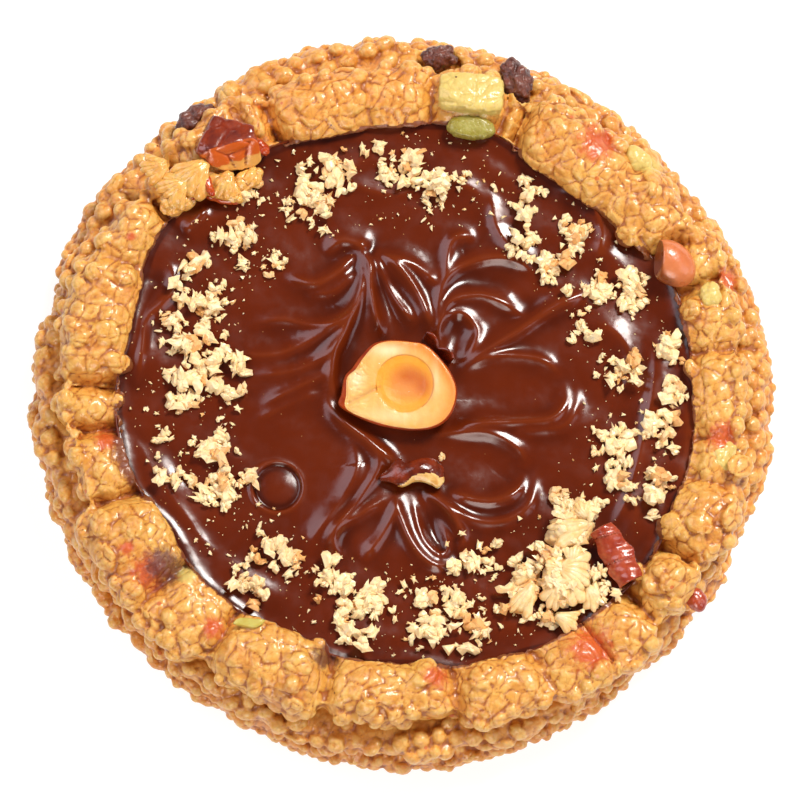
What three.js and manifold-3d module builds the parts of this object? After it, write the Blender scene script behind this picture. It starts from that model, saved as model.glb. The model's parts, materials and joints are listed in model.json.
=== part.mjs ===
// A hazelnut cookie: a thick crust of knobbly dough whose raised rim holds a pool of swirled
// chocolate. Half a hazelnut and a curl of its skin lie in the middle, chopped nuts are
// scattered on the chocolate, and nuts and dried fruit are baked into the rim.
// Millimetres, +Z up. The flat underside rests on z = 0 and the origin is at its middle.

import * as THREE from 'three';
import { mergeVertices } from 'three/addons/utils/BufferGeometryUtils.js';
import Module from 'manifold-3d';

const wasm = await Module();
wasm.setup();

// ---------------------------------------------------------------- driving dimensions

const cookieRadius = 43.85;     // middle of the uneven outline
const rimTop = 14.0;            // height of an ordinary lump of the rim
const wellFloor = 7.2;          // crust below the chocolate
const poolLevel = 10.8;         // top of the chocolate away from the swirls
const gap = 0.3;                // air left between two solids that touch in life
const flatInset = 4.2;          // the flat underside ends this far inside the outline
const crustSides = 90;
const poolSides = 58;
const poolRings = 16;

// The rim is a chain of lumps. Each row: angle in degrees where the lump starts, its inner
// and outer radius, how far its top stands above or below rimTop, and how deep the cleft at
// its start is, as a share of the deepest ones.
const rimLumps = [
  [7.8, 34.3, 41.6, -0.6, 0.5], [20.0, 34.9, 42.6, -1.3, 0.7], [28.8, 32.5, 40.8, 0.0, 0.9],
  [44.2, 31.2, 40.5, 0.6, 0.25], [66.2, 33.6, 38.9, -1.4, 1.0], [69.9, 33.2, 40.4, -0.3, 0.5],
  [84.1, 32.1, 39.8, -0.3, 0.5], [96.8, 32.1, 40.2, 0.2, 0.2], [115.2, 34.0, 41.2, -1.0, 0.9],
  [120.4, 33.4, 42.1, -0.5, 0.4], [135.6, 34.1, 39.9, -1.0, 0.8], [141.8, 34.5, 40.6, 0.0, 0.9],
  [154.6, 32.9, 41.6, 0.4, 0.35], [178.3, 33.4, 41.4, -1.2, 1.0], [186.6, 33.2, 39.9, -0.9, 1.0],
  [200.5, 31.6, 42.1, 0.4, 0.9], [219.0, 32.2, 41.3, -0.3, 0.7], [233.6, 31.2, 40.5, 0.5, 0.8],
  [255.9, 32.2, 39.6, 0.0, 0.8], [280.1, 33.4, 41.0, -0.2, 0.6], [296.7, 34.4, 42.6, -0.6, 0.4],
  [307.7, 34.6, 42.9, -0.7, 0.5], [318.3, 35.2, 41.8, -1.0, 0.8], [329.3, 34.7, 42.9, -0.2, 0.8],
  [343.6, 34.8, 42.0, -0.9, 0.3], [351.6, 34.4, 41.4, -0.2, 0.3],
];
const cleftDrop = 2.2;          // the deepest clefts between two lumps lie this much lower
const cleftPinch = 1.0;         // and are this much narrower on each side
const lumpCell = 5.4;           // size of the knobs that cover the rim and the wall
const lumpRelief = 1.5;

// Spoon strokes in the chocolate: points that a ridge runs through, and its height.
const strokes = [
  { path: [[6.5, 2.2], [13.2, 4.6], [19.4, 1.4], [18.0, -3.0], [6.7, -4.1]], height: 0.8 },
  { path: [[7.3, -4.6], [14.2, -6.6], [13.7, -11.6], [8.0, -12.6], [4.0, -10.4]], height: 0.8 },
  { path: [[16.2, -9.6], [13.2, -14.8], [7.3, -14.4], [3.4, -11.2]], height: 0.6 },
  { path: [[-0.6, -11.6], [0.6, -16.4], [4.6, -20.6], [7.2, -17.4], [2.4, -11.3]], height: 0.8 },
  { path: [[-0.8, -12.1], [-1.2, -15.0], [-4.6, -20.1]], height: 0.6 },
  { path: [[-0.8, -11.9], [-4.3, -14.1], [-7.8, -17.0], [-6.7, -20.3]], height: 0.7 },
  { path: [[-3.6, -6.3], [-2.6, -9.2], [-8.4, -17.0], [-8.9, -19.5]], height: 0.7 },
  { path: [[-8.8, 0.0], [-6.7, -3.2], [-0.8, -8.2]], height: 0.7 },
  { path: [[-5.0, 17.5], [-4.9, 12.0], [-8.1, 3.2], [-7.2, -1.8]], height: 0.8 },
  { path: [[-13.5, 14.6], [-10.0, 13.6], [-5.3, 17.5]], height: 0.6 },
  { path: [[-18.4, 8.6], [-10.4, 8.4], [-5.2, 11.5]], height: 0.6 },
  { path: [[-20.4, 5.1], [-13.0, 5.4], [-5.6, 10.3]], height: 0.6 },
  { path: [[-18.9, 2.2], [-12.8, 2.9], [-6.4, 8.4]], height: 0.6 },
  { path: [[-17.0, -2.0], [-12.0, -0.2], [-8.4, 2.4]], height: 0.5 },
  { path: [[-5.5, 18.0], [-3.6, 13.6], [-1.8, 6.9]], height: 1.0 },
  { path: [[-3.1, 17.5], [0.6, 14.8], [3.6, 8.0]], height: 0.9 },
  { path: [[3.9, 6.6], [5.5, 14.1], [12.0, 16.5], [17.4, 14.4]], height: 0.7 },
  { path: [[4.3, 9.0], [8.5, 11.9], [15.1, 9.6]], height: 0.6 },
  { path: [[6.5, 2.9], [13.7, 7.2], [23.8, 12.8]], height: 0.8 },
];
const strokeWidth = 1.0;

// Shallow bowls that the spoon left: middle, the two half axes, turn in degrees, depth.
const bowls = [
  [13.4, 0.6, 5.6, 3.6, 0, 0.45], [9.0, -8.6, 5.2, 3.6, -12, 0.45], [3.8, -16.4, 3.8, 2.2, -65, 0.5],
  [-14.7, -11.1, 3.1, 3.1, 0, 0.4], [6.7, 7.4, 2.9, 2.0, 80, 0.4],
];

// Heaps of chopped nut on the chocolate: middle, spread and number of pieces.
const crumbHeaps = [
  [-10.3, 23.7, 3.8, 7], [-2.6, 27.6, 3.4, 5], [4.3, 25.3, 3.8, 7], [15.4, 24.3, 3.0, 6],
  [19.6, 17.6, 3.2, 5], [24.4, 12.4, 3.4, 5], [30.6, 3.4, 2.4, 5], [27.6, -4.6, 3.6, 6],
  [27.0, -10.6, 3.4, 5], [13.6, -24.0, 2.6, 5], [8.3, -21.0, 2.6, 4], [5.0, -27.6, 4.4, 7],
  [-5.0, -25.2, 3.8, 7], [-16.6, -20.6, 3.4, 6], [-22.2, -9.4, 3.8, 7], [-26.2, -1.8, 2.8, 4],
  [-24.0, 4.2, 3.2, 5], [-24.0, 11.4, 3.6, 7], [-18.6, 19.2, 2.8, 5],
];
const crumbRadius = { smallest: 0.75, largest: 1.5 };

// ---------------------------------------------------------------- chance and noise

// A whole number scrambled from three whole coordinates and a salt, as a value in 0..1.
function scatter(ix, iy, iz, salt) {
  let h = Math.imul(ix, 374761393) ^ Math.imul(iy, 668265263) ^ Math.imul(iz, 1440662683);
  h = Math.imul(h ^ salt ^ (h >>> 13), 1274126177);
  h = Math.imul(h ^ (h >>> 16), 2246822519);
  return ((h ^ (h >>> 15)) >>> 0) / 4294967296;
}

// Rounded knobs packed side by side: 1 on top of a knob, 0 in the creases between them.
function knobs(point, cell, salt) {
  const base = [point.x, point.y, point.z].map((value) => Math.floor(value / cell));
  let nearest = Infinity;
  for (let dx = -1; dx <= 1; dx += 1) {
    for (let dy = -1; dy <= 1; dy += 1) {
      for (let dz = -1; dz <= 1; dz += 1) {
        const [ix, iy, iz] = [base[0] + dx, base[1] + dy, base[2] + dz];
        const fx = (ix + scatter(ix, iy, iz, salt)) - point.x / cell;
        const fy = (iy + scatter(ix, iy, iz, salt + 1)) - point.y / cell;
        const fz = (iz + scatter(ix, iy, iz, salt + 2)) - point.z / cell;
        nearest = Math.min(nearest, fx * fx + fy * fy + fz * fz);
      }
    }
  }
  return Math.max(0, 1 - nearest);
}

function seededRandom(seed) {
  let count = 0;
  return () => {
    count += 1;
    return scatter(count, seed, 7, 11);
  };
}

// ---------------------------------------------------------------- meshes and solids

// A closed skin over rings of points that run from a bottom pole to a top pole.
function skin(bottom, rings, top) {
  const points = [bottom, ...rings.flat(), top];
  const across = rings[0].length;
  const at = (ring, index) => 1 + ring * across + (index % across);
  const faces = [];
  for (let index = 0; index < across; index += 1) {
    faces.push(0, at(0, index + 1), at(0, index));
    faces.push(points.length - 1, at(rings.length - 1, index), at(rings.length - 1, index + 1));
    for (let ring = 0; ring + 1 < rings.length; ring += 1) {
      const [a, b] = [at(ring, index), at(ring, index + 1)];
      const [c, d] = [at(ring + 1, index + 1), at(ring + 1, index)];
      if (points[a].distanceTo(points[c]) < points[b].distanceTo(points[d])) {
        faces.push(a, b, c, a, c, d);
      } else {
        faces.push(a, b, d, b, c, d);
      }
    }
  }
  const geometry = new THREE.BufferGeometry().setFromPoints(points);
  geometry.setIndex(faces);
  return geometry;
}

// A thin closed sheet of even thickness whose middle surface is place(u, v), u and v in 0..1.
function sheet(place, across, along, thickness) {
  const points = [];
  const step = 0.01;
  for (const side of [0.5, -0.5]) {
    for (let j = 0; j <= along; j += 1) {
      for (let i = 0; i <= across; i += 1) {
        const [u, v] = [i / across, j / along];
        const du = place(u + step, v).sub(place(u - step, v));
        const dv = place(u, v + step).sub(place(u, v - step));
        const normal = du.cross(dv).normalize();
        points.push(place(u, v).addScaledVector(normal, side * thickness));
      }
    }
  }
  const width = across + 1;
  const layer = width * (along + 1);
  const faces = [];
  for (let j = 0; j < along; j += 1) {
    for (let i = 0; i < across; i += 1) {
      const [a, b, c, d] = [j * width + i, j * width + i + 1, (j + 1) * width + i + 1, (j + 1) * width + i];
      faces.push(a, b, c, a, c, d);
      faces.push(layer + a, layer + c, layer + b, layer + a, layer + d, layer + c);
    }
  }
  const border = [];
  for (let i = 0; i < across; i += 1) border.push(i);
  for (let j = 0; j < along; j += 1) border.push(j * width + across);
  for (let i = across; i > 0; i -= 1) border.push(along * width + i);
  for (let j = along; j > 0; j -= 1) border.push(j * width);
  border.forEach((a, index) => {
    const b = border[(index + 1) % border.length];
    faces.push(a, layer + a, layer + b, a, layer + b, b);
  });
  const geometry = new THREE.BufferGeometry().setFromPoints(points);
  geometry.setIndex(faces);
  return geometry;
}

// A knobbly ball, flattened where it meets the given planes (normal and distance).
function nugget({ radii, detail, rough, seed, planes = [], Ball = THREE.IcosahedronGeometry }) {
  const geometry = mergedCopy(new Ball(1, detail));
  const position = geometry.attributes.position;
  const point = new THREE.Vector3();
  for (let index = 0; index < position.count; index += 1) {
    point.fromBufferAttribute(position, index);
    const bump = knobs(point.clone().addScalar(seed), 0.9, seed) - 0.6;
    point.multiplyScalar(1 + rough * bump).multiply(new THREE.Vector3(...radii));
    for (const [nx, ny, nz, distance] of planes) {
      const normal = new THREE.Vector3(nx, ny, nz).normalize();
      point.addScaledVector(normal, -Math.max(0, point.dot(normal) - distance));
    }
    position.setXYZ(index, point.x, point.y, point.z);
  }
  return geometry;
}

function mergedCopy(geometry) {
  const copy = geometry.clone();
  copy.deleteAttribute('normal');
  copy.deleteAttribute('uv');
  return mergeVertices(copy, 1e-5);
}

function placed(geometry, position, turn = [0, 0, 0]) {
  const angles = turn.map((degrees) => THREE.MathUtils.degToRad(degrees));
  const matrix = new THREE.Matrix4().makeRotationFromEuler(new THREE.Euler(...angles, 'ZYX'));
  matrix.setPosition(...position);
  return geometry.clone().applyMatrix4(matrix);
}

// The same shape with its surface pushed out, which cuts a pocket that leaves the gap free.
function swollen(geometry, distance) {
  const copy = mergedCopy(geometry);
  copy.computeVertexNormals();
  const { position, normal } = copy.attributes;
  for (let index = 0; index < position.count; index += 1) {
    position.setXYZ(
      index,
      position.getX(index) + normal.getX(index) * distance,
      position.getY(index) + normal.getY(index) * distance,
      position.getZ(index) + normal.getZ(index) * distance,
    );
  }
  copy.deleteAttribute('normal');
  return copy;
}

function toSolid(geometry) {
  const merged = mergedCopy(geometry);
  return new wasm.Manifold(new wasm.Mesh({
    numProp: 3,
    vertProperties: new Float32Array(merged.attributes.position.array),
    triVerts: new Uint32Array(merged.index.array),
  }));
}

function toGeometry(solid) {
  const { vertProperties, triVerts, numProp } = solid.getMesh();
  const geometry = new THREE.BufferGeometry();
  const points = [];
  for (let index = 0; index < vertProperties.length; index += numProp) {
    points.push(vertProperties[index], vertProperties[index + 1], vertProperties[index + 2]);
  }
  geometry.setAttribute('position', new THREE.Float32BufferAttribute(points, 3));
  geometry.setIndex([...triVerts]);
  return geometry;
}

// Cutting can leave loose scraps: only the largest body stays.
function largestBody(solid) {
  const bodies = solid.decompose();
  return bodies.reduce((best, body) => (body.volume() > best.volume() ? body : best));
}

// ---------------------------------------------------------------- crust

const degrees = (angle) => THREE.MathUtils.degToRad(angle);

// The outline is a little squarish, reaches further out at the top, and is narrower towards
// the upper right and lower left.
function outline(angle) {
  const lobes = 0.45 * Math.cos(4 * angle) - 0.3 * Math.sin(2 * angle);
  return cookieRadius + lobes + 0.5 * Math.sin(angle);
}

// Inner radius, outer radius and top of the rim at an angle, and where it is in its lump.
function rimAt(angle) {
  const turn = THREE.MathUtils.euclideanModulo(THREE.MathUtils.radToDeg(angle) - rimLumps[0][0], 360);
  const starts = rimLumps.map((row) => row[0] - rimLumps[0][0]);
  let index = starts.length - 1;
  while (starts[index] > turn) index -= 1;
  const next = (index + 1) % starts.length;
  const before = (index + starts.length - 1) % starts.length;
  const span = (next === 0 ? 360 : starts[next]) - starts[index];
  const across = (turn - starts[index]) / span;
  const neighbour = rimLumps[across < 0.5 ? before : next];
  const own = rimLumps[index];
  const depth = rimLumps[across < 0.5 ? index : next][4];
  const swell = Math.pow(1 - Math.pow(Math.abs(2 * across - 1), 2.4), 0.5);
  const blend = (column, pinch) => {
    const cleft = (own[column] + neighbour[column]) / 2 + pinch;
    return THREE.MathUtils.lerp(cleft, own[column], swell);
  };
  return {
    inner: blend(1, cleftPinch * depth),
    outer: blend(2, -cleftPinch * depth),
    top: rimTop + blend(3, -cleftDrop * depth),
  };
}

// The wall round the chocolate follows the rim's inner side without its clefts.
function poolRadius(angle) {
  let sum = 0;
  const reach = 5;
  for (let step = -reach; step <= reach; step += 1) {
    sum += rimAt(angle + degrees(step * 1.6)).inner;
  }
  return sum / (2 * reach + 1) + 0.35;
}

// Radius, height and share of the knobs down one side of the cookie, from the underside's
// edge over the wall's two tiers and the rim to the well floor.
function crustProfile(angle) {
  const edge = outline(angle);
  const wander = 0.7 * Math.sin(3 * angle + 1) + 0.4 * Math.sin(8 * angle);
  const crease = 0.55 + 0.45 * Math.sin(5 * angle + 2);
  const rim = rimAt(angle);
  const pool = poolRadius(angle);
  const middle = (rim.inner + rim.outer) / 2 + 0.2;
  const half = (rim.outer - rim.inner) / 2;
  const shelf = Math.min(edge - 2.2, rim.outer - 0.1);
  return [
    [edge - flatInset, 0, 0], [edge - 1.7, 0.35, 0.3], [edge - 0.5, 1.3, 0.8], [edge, 2.8, 1],
    [edge - 0.3, 4.0 + wander / 2, 1], [edge - 0.8 - crease, 5.1 + wander, 0.8],
    [edge - 0.9, 6.2 + wander, 1], [edge - 1.2, 7.4 + wander / 2, 1], [edge - 1.8, 8.4, 0.8],
    [shelf, 9.1, 0.5], [rim.outer, 10.3, 0.8], [rim.outer, 11.6, 0.8],
    [rim.outer - 0.9, 12.8, 0.8], [middle + 0.42 * half, rim.top - 0.3, 0.7],
    [middle, rim.top, 0.6], [middle - 0.45 * half, rim.top - 0.25, 0.6],
    [rim.inner + 0.7, rim.top - 1.1, 0.5], [rim.inner, 12.0, 0.3], [pool, 11.2, 0],
    [pool, wellFloor + 0.2, 0], [pool - 0.8, wellFloor, 0],
  ];
}

function crustGeometry(around) {
  const columns = [];
  for (let index = 0; index < around; index += 1) {
    const angle = (2 * Math.PI * index) / around;
    const profile = crustProfile(angle);
    columns.push(profile.map(([radius, height, share], row) => {
      const before = profile[Math.max(row - 1, 0)];
      const after = profile[Math.min(row + 1, profile.length - 1)];
      const normal = new THREE.Vector2(after[1] - before[1], before[0] - after[0]).normalize();
      const point = new THREE.Vector3(radius * Math.cos(angle), radius * Math.sin(angle), height);
      const push = share * lumpRelief * (knobs(point, lumpCell, 3) - 0.6);
      const spot = radius + push * normal.x;
      return new THREE.Vector3(spot * Math.cos(angle), spot * Math.sin(angle), height + push * normal.y);
    }));
  }
  const rings = columns[0].map((_, row) => columns.map((column) => column[row]));
  return skin(new THREE.Vector3(0, 0, 0), rings, new THREE.Vector3(0, 0, wellFloor));
}

const doughBall = () => placed(
  nugget({ radii: [3.5, 3.3, 3.2], detail: 2, rough: 0.22, seed: 5 }), [31.7, -22.7, 11.6],
);

// ---------------------------------------------------------------- chocolate

const strokeLines = strokes.map(({ path, height }) => {
  const curve = new THREE.CatmullRomCurve3(path.map(([x, y]) => new THREE.Vector3(x, y, 0)));
  return { points: curve.getPoints(14), height };
});

// Height of the chocolate's surface at a place in the layout.
function chocolateHeight(x, y) {
  const spot = new THREE.Vector3(x, y, 0);
  let height = poolLevel;
  for (const [cx, cy, long, short, turn, depth] of bowls) {
    const [cos, sin] = [Math.cos(degrees(turn)), Math.sin(degrees(turn))];
    const along = ((x - cx) * cos + (y - cy) * sin) / long;
    const aside = ((y - cy) * cos - (x - cx) * sin) / short;
    height -= depth * Math.exp(-1.2 * (along * along + aside * aside));
  }
  for (const { points, height: rise } of strokeLines) {
    let nearest = Infinity;
    let share = 0;
    const closest = new THREE.Vector3();
    for (let index = 0; index + 1 < points.length; index += 1) {
      const line = new THREE.Line3(points[index], points[index + 1]);
      const part = line.closestPointToPointParameter(spot, true);
      const distance = line.at(part, closest).distanceTo(spot);
      if (distance < nearest) {
        nearest = distance;
        share = (index + part) / (points.length - 1);
      }
    }
    const fade = Math.min(1, 6 * share + 0.3, 6 * (1 - share) + 0.1);
    height += rise * fade * Math.exp(-((nearest / strokeWidth) ** 2));
  }
  return height;
}

function chocolateGeometry(around, ringCount) {
  const underside = wellFloor + gap;
  const side = (angle, share, height) => {
    const radius = share * (poolRadius(angle) - gap);
    const [x, y] = [radius * Math.cos(angle), radius * Math.sin(angle)];
    return new THREE.Vector3(x, y, height ?? chocolateHeight(x, y));
  };
  const angles = Array.from({ length: around }, (_, index) => (2 * Math.PI * index) / around);
  const rings = [angles.map((angle) => side(angle, 1, underside)), angles.map((angle) => side(angle, 1, 10.1))];
  for (let ring = 1; ring < ringCount; ring += 1) {
    const share = 1 - Math.pow(ring / ringCount, 1.1);
    rings.push(angles.map((angle) => side(angle, share * 0.985)));
  }
  const middle = new THREE.Vector3(0, 0, chocolateHeight(0, 0));
  return skin(new THREE.Vector3(0, 0, underside), rings, middle);
}

// Chopped nut: angular scraps, sunk a third into the chocolate.
function crumbSolids() {
  const random = seededRandom(29);
  const solids = [];
  for (const [cx, cy, spread, count] of crumbHeaps) {
    for (let index = 0; index < count; index += 1) {
      const angle = 2 * Math.PI * random();
      const reach = spread * Math.sqrt(random());
      const [x, y] = [cx + reach * Math.cos(angle), cy + reach * Math.sin(angle)];
      const size = THREE.MathUtils.lerp(crumbRadius.smallest, crumbRadius.largest, random() ** 1.5);
      const radii = [size * (0.8 + 0.6 * random()), size * (0.7 + 0.3 * random()), size * 0.7];
      const shape = nugget({
        radii, detail: 0, rough: 0.6, seed: solids.length + 1, Ball: THREE.OctahedronGeometry,
      });
      const turn = [20 * random(), 20 * random(), 360 * random()];
      solids.push(toSolid(placed(shape, [x, y, chocolateHeight(x, y) + size * 0.25], turn)));
    }
  }
  return solids;
}

// ---------------------------------------------------------------- nuts and fruit

// Half a hazelnut, cut face up, broken off straight on its left, with the hollow of the
// kernel off its middle. The skin stands out a little beyond the cut face.
const cutFaceEdge = [
  [6.55, -0.95], [5.95, 1.22], [4.41, 3.39], [2.9, 4.75], [1.07, 5.16], [-1.2, 5.27], [-2.94, 4.75],
  [-4.28, 3.26], [-5.2, 1.9], [-6.2, 0.95], [-6.25, -0.9], [-6.1, -2.9], [-2.94, -4.27], [0.8, -5.09],
  [3.88, -4.82], [5.75, -3.39],
];
const skinEdge = [
  [6.75, -1.0], [6.15, 1.3], [4.55, 3.5], [2.95, 4.9], [1.1, 5.3], [-1.3, 5.45], [-3.2, 5.0],
  [-4.65, 3.6], [-5.65, 2.2], [-6.6, 1.1], [-7.0, -0.9], [-7.1, -2.5], [-3.2, -4.5], [0.8, -5.3],
  [4.0, -5.05], [5.95, -3.6],
];
function hazelnutHalf() {
  const depth = 4.4;
  const hollow = { x: 0.53, y: 0.2, radius: 3.5 };
  const sides = 28;
  const loop = (edge) => {
    const curve = new THREE.CatmullRomCurve3(edge.map(([x, y]) => new THREE.Vector3(x, y, 0)), true);
    curve.curveType = 'catmullrom';
    return Array.from({ length: sides }, (_, index) => curve.getPoint(index / sides));
  };
  const ring = (edge, share, z) => (
    loop(edge).map((spot) => new THREE.Vector3(spot.x * share, spot.y * share, z))
  );
  const rings = [
    ring(skinEdge, 0.5, -0.97 * depth), ring(skinEdge, 0.8, -0.78 * depth), ring(skinEdge, 0.95, -0.45 * depth),
    ring(skinEdge, 1.0, -0.16 * depth), ring(cutFaceEdge, 1.0, 0), ring(cutFaceEdge, 0.92, 0.1),
  ];
  for (const [share, drop] of [[1.0, 0.03], [0.86, -0.45], [0.55, -0.95]]) {
    const reach = hollow.radius * share;
    rings.push(loop(cutFaceEdge).map((spot) => {
      const angle = Math.atan2(spot.y - hollow.y, spot.x - hollow.x);
      return new THREE.Vector3(hollow.x + reach * Math.cos(angle), hollow.y + reach * Math.sin(angle), drop);
    }));
  }
  return skin(new THREE.Vector3(0, 0, -depth), rings, new THREE.Vector3(hollow.x, hollow.y, -1.05));
}

// A curl of dark skin with kernel along its front: a short bar, arched and slightly hollow.
function skinCurl() {
  return sheet((u, v) => {
    const [along, aside] = [6.0 * (u - 0.5), 1.9 * (v - 0.5)];
    const arch = 0.9 * Math.cos(Math.PI * (u - 0.5)) + 0.3 * (2 * v - 1) ** 2;
    return new THREE.Vector3(along, aside + 0.5 * Math.sin(Math.PI * u) + 0.12 * along, arch);
  }, 8, 4, 1.0);
}

// A leaf of skin that stands behind the nut, leaning away from it, with two points.
function skinFlap() {
  return sheet((u, v) => {
    const lean = v * (0.35 + 0.75 * Math.abs(Math.sin(5.2 * u + 0.5)));
    const [x, y] = [3.7 * (u - 0.5), -3.5 * (u - 0.5)];
    return new THREE.Vector3(x + lean, y + 0.9 * lean, 2.4 * v * (0.75 + 0.25 * Math.abs(Math.sin(5.2 * u + 0.5))));
  }, 6, 3, 0.4);
}

// A torn flap of dried cranberry, folded lengthwise.
function cranberryFlake() {
  return sheet((u, v) => {
    const along = 7.4 * (v - 0.5);
    const aside = (3.9 - 2.4 * Math.abs(v - 0.45)) * (u - 0.5);
    const fold = 0.9 * Math.cos(Math.PI * (u - 0.5)) + 0.25 * Math.sin(9 * v);
    return new THREE.Vector3(aside, along, fold + 0.03 * along * along);
  }, 5, 8, 0.6);
}

const pieces = {
  hazelnut_half: { shape: hazelnutHalf(), at: [-0.1, 0.7, 13.4], turn: [3, -2, 0], colour: 0xf2c46c, roughness: 0.35 },
  skin_curl: { shape: skinCurl(), at: [1.6, -9.8, 11.9], turn: [-32, 0, 6], colour: 0x6e2410, roughness: 0.2 },
  skin_flap: { shape: skinFlap(), at: [4.6, 5.1, 10.9], turn: [0, 0, 0], colour: 0x6e2410, roughness: 0.3 },
  cranberry_flake: { shape: cranberryFlake(), at: [25.6, -19.5, 12.3], turn: [0, -14, 28], colour: 0x86261a, roughness: 0.2 },
  glazed_nut_chunk: {
    shape: nugget({
      radii: [4.4, 3.6, 2.7], detail: 2, rough: 0.1, seed: 12,
      planes: [[0.1, 0.1, 1, 1.7], [-1, 0.25, 0.2, 3.1], [0.3, -1, 0.35, 2.3], [1, 0.5, 0.2, 3.2], [0, 1, 0.3, 2.5]],
    }),
    at: [-20.5, 30.3, 13.7], turn: [-10, 8, -14], colour: 0x5c1a12, roughness: 0.2,
  },
  glazed_nut_chip: {
    shape: nugget({
      radii: [2.7, 1.7, 1.3], detail: 1, rough: 0.3, seed: 21, planes: [[0, 0, 1, 0.9], [0.4, -1, 0.2, 1.5]],
    }),
    at: [-21.4, 24.9, 12.3], turn: [0, 0, -30], colour: 0xd9a04e, roughness: 0.35,
  },
  almond_piece: {
    shape: nugget({
      radii: [3.3, 2.5, 2.1], detail: 2, rough: 0.04, seed: 8, planes: [[-0.8, -0.5, 0.1, 1.6]],
    }),
    at: [32.2, 15.6, 12.8], turn: [0, 12, -38], colour: 0xb8623c, roughness: 0.4,
  },
  pale_pistachio: {
    shape: nugget({
      radii: [5.0, 3.2, 2.3], detail: 2, rough: 0.12, seed: 14,
      planes: [[0.1, 0.2, 1, 1.6], [1, 0, 0, 3.9], [-1, 0, 0, 3.9], [0, 1, 0, 2.3], [0, -1, 0, 2.3]],
    }),
    at: [8.4, 36.2, 12.7], turn: [-6, 0, -6], colour: 0xd6cc7c, roughness: 0.45,
  },
  green_pistachio: {
    shape: nugget({ radii: [2.9, 1.45, 1.3], detail: 1, rough: 0.08, seed: 17 }),
    at: [8.4, 32.2, 12.3], turn: [0, 0, -4], colour: 0x7f9036, roughness: 0.4,
  },
  raisin_north: {
    shape: nugget({ radii: [1.7, 2.6, 1.6], detail: 1, rough: 0.4, seed: 31 }),
    at: [13.8, 38.2, 10.9], turn: [0, 0, 28], colour: 0x2c1418, roughness: 0.4,
  },
  raisin_top: {
    shape: nugget({ radii: [1.9, 1.4, 1.4], detail: 1, rough: 0.4, seed: 33 }),
    at: [4.6, 41.4, 9.2], turn: [0, 0, 12], colour: 0x2c1418, roughness: 0.4,
  },
  raisin_northwest: {
    shape: nugget({ radii: [2.5, 1.5, 1.5], detail: 1, rough: 0.4, seed: 35 }),
    at: [-24.8, 33.7, 9.8], turn: [0, 0, 34], colour: 0x3a1a1c, roughness: 0.4,
  },
  cranberry_bit: {
    shape: nugget({ radii: [1.2, 1.5, 1.1], detail: 1, rough: 0.2, seed: 41 }),
    at: [35.0, -24.6, 10.6], turn: [0, 0, 20], colour: 0x96342a, roughness: 0.3,
  },
  walnut_upper: {
    shape: nugget({
      radii: [3.2, 2.0, 1.9], detail: 2, rough: 0.45, seed: 51, planes: [[0, 0, -1, 1.0], [0.2, 0.2, 1, 1.5]],
    }),
    at: [19.4, -16.6, 12.0], turn: [0, 0, 14], colour: 0xe8cf92, roughness: 0.5,
  },
  walnut_lower: {
    shape: nugget({
      radii: [3.9, 2.9, 2.1], detail: 2, rough: 0.45, seed: 56, planes: [[0, 0, -1, 1.1], [-0.2, 0.1, 1, 1.6]],
    }),
    at: [18.9, -22.0, 12.1], turn: [0, 0, 52], colour: 0xe8cf92, roughness: 0.5,
  },
  pistachio_east: {
    shape: nugget({ radii: [1.9, 1.9, 1.1], detail: 1, rough: 0.3, seed: 61, planes: [[0, 0, 1, 0.7]] }),
    at: [39.0, -7.8, 12.2], turn: [0, 24, 0], colour: 0xa9b45c, roughness: 0.45,
  },
  pistachio_mideast: {
    shape: nugget({ radii: [1.35, 1.5, 1.0], detail: 1, rough: 0.3, seed: 64 }),
    at: [36.9, 11.7, 12.9], turn: [0, 0, 0], colour: 0xb9be74, roughness: 0.45,
  },
  pistachio_northeast: {
    shape: nugget({ radii: [1.6, 1.5, 1.0], detail: 1, rough: 0.25, seed: 67 }),
    at: [28.4, 28.4, 11.7], turn: [0, 0, 45], colour: 0xc3c47c, roughness: 0.45,
  },
  pistachio_sliver: {
    shape: nugget({ radii: [1.7, 0.75, 0.6], detail: 1, rough: 0.1, seed: 69 }),
    at: [-18.0, -27.8, 13.9], turn: [0, 0, 12], colour: 0xa8b86a, roughness: 0.45,
  },
};

// ---------------------------------------------------------------- assembly

const pocketGap = gap + 0.08;
const pieceShapes = Object.entries(pieces).map(([name, piece]) => (
  { name, ...piece, placedShape: placed(piece.shape, piece.at, piece.turn) }
));
const pockets = pieceShapes.map(({ placedShape }) => toSolid(swollen(placedShape, pocketGap)));
const cutPockets = (solid) => pockets.reduce((body, pocket) => body.subtract(pocket), solid);

const crust = toSolid(placed(crustGeometry(crustSides), [0, 0, 0])).add(toSolid(doughBall()));
const pool = crumbSolids().reduce(
  (body, crumb) => body.add(crumb), toSolid(placed(chocolateGeometry(poolSides, poolRings), [0, 0, 0])),
);

function named(name, geometry, colour, roughness) {
  const material = new THREE.MeshStandardMaterial({ color: colour, roughness, metalness: 0 });
  const mesh = new THREE.Mesh(geometry, material);
  mesh.name = name;
  return mesh;
}

const cookie = new THREE.Group();
cookie.add(named('crust', toGeometry(largestBody(cutPockets(crust))), 0xd79b55, 0.55));
cookie.add(named('chocolate', toGeometry(largestBody(cutPockets(pool))), 0x5a2a1c, 0.25));
for (const { name, placedShape, colour, roughness } of pieceShapes) {
  cookie.add(named(name, placedShape, colour, roughness));
}

// The origin is the middle of the whole cookie's footprint.
const box = new THREE.Box3().setFromObject(cookie, true);
const middle = box.getCenter(new THREE.Vector3());
cookie.position.set(-middle.x, -middle.y, -box.min.z);
cookie.updateMatrixWorld(true);

export default cookie;
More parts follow.
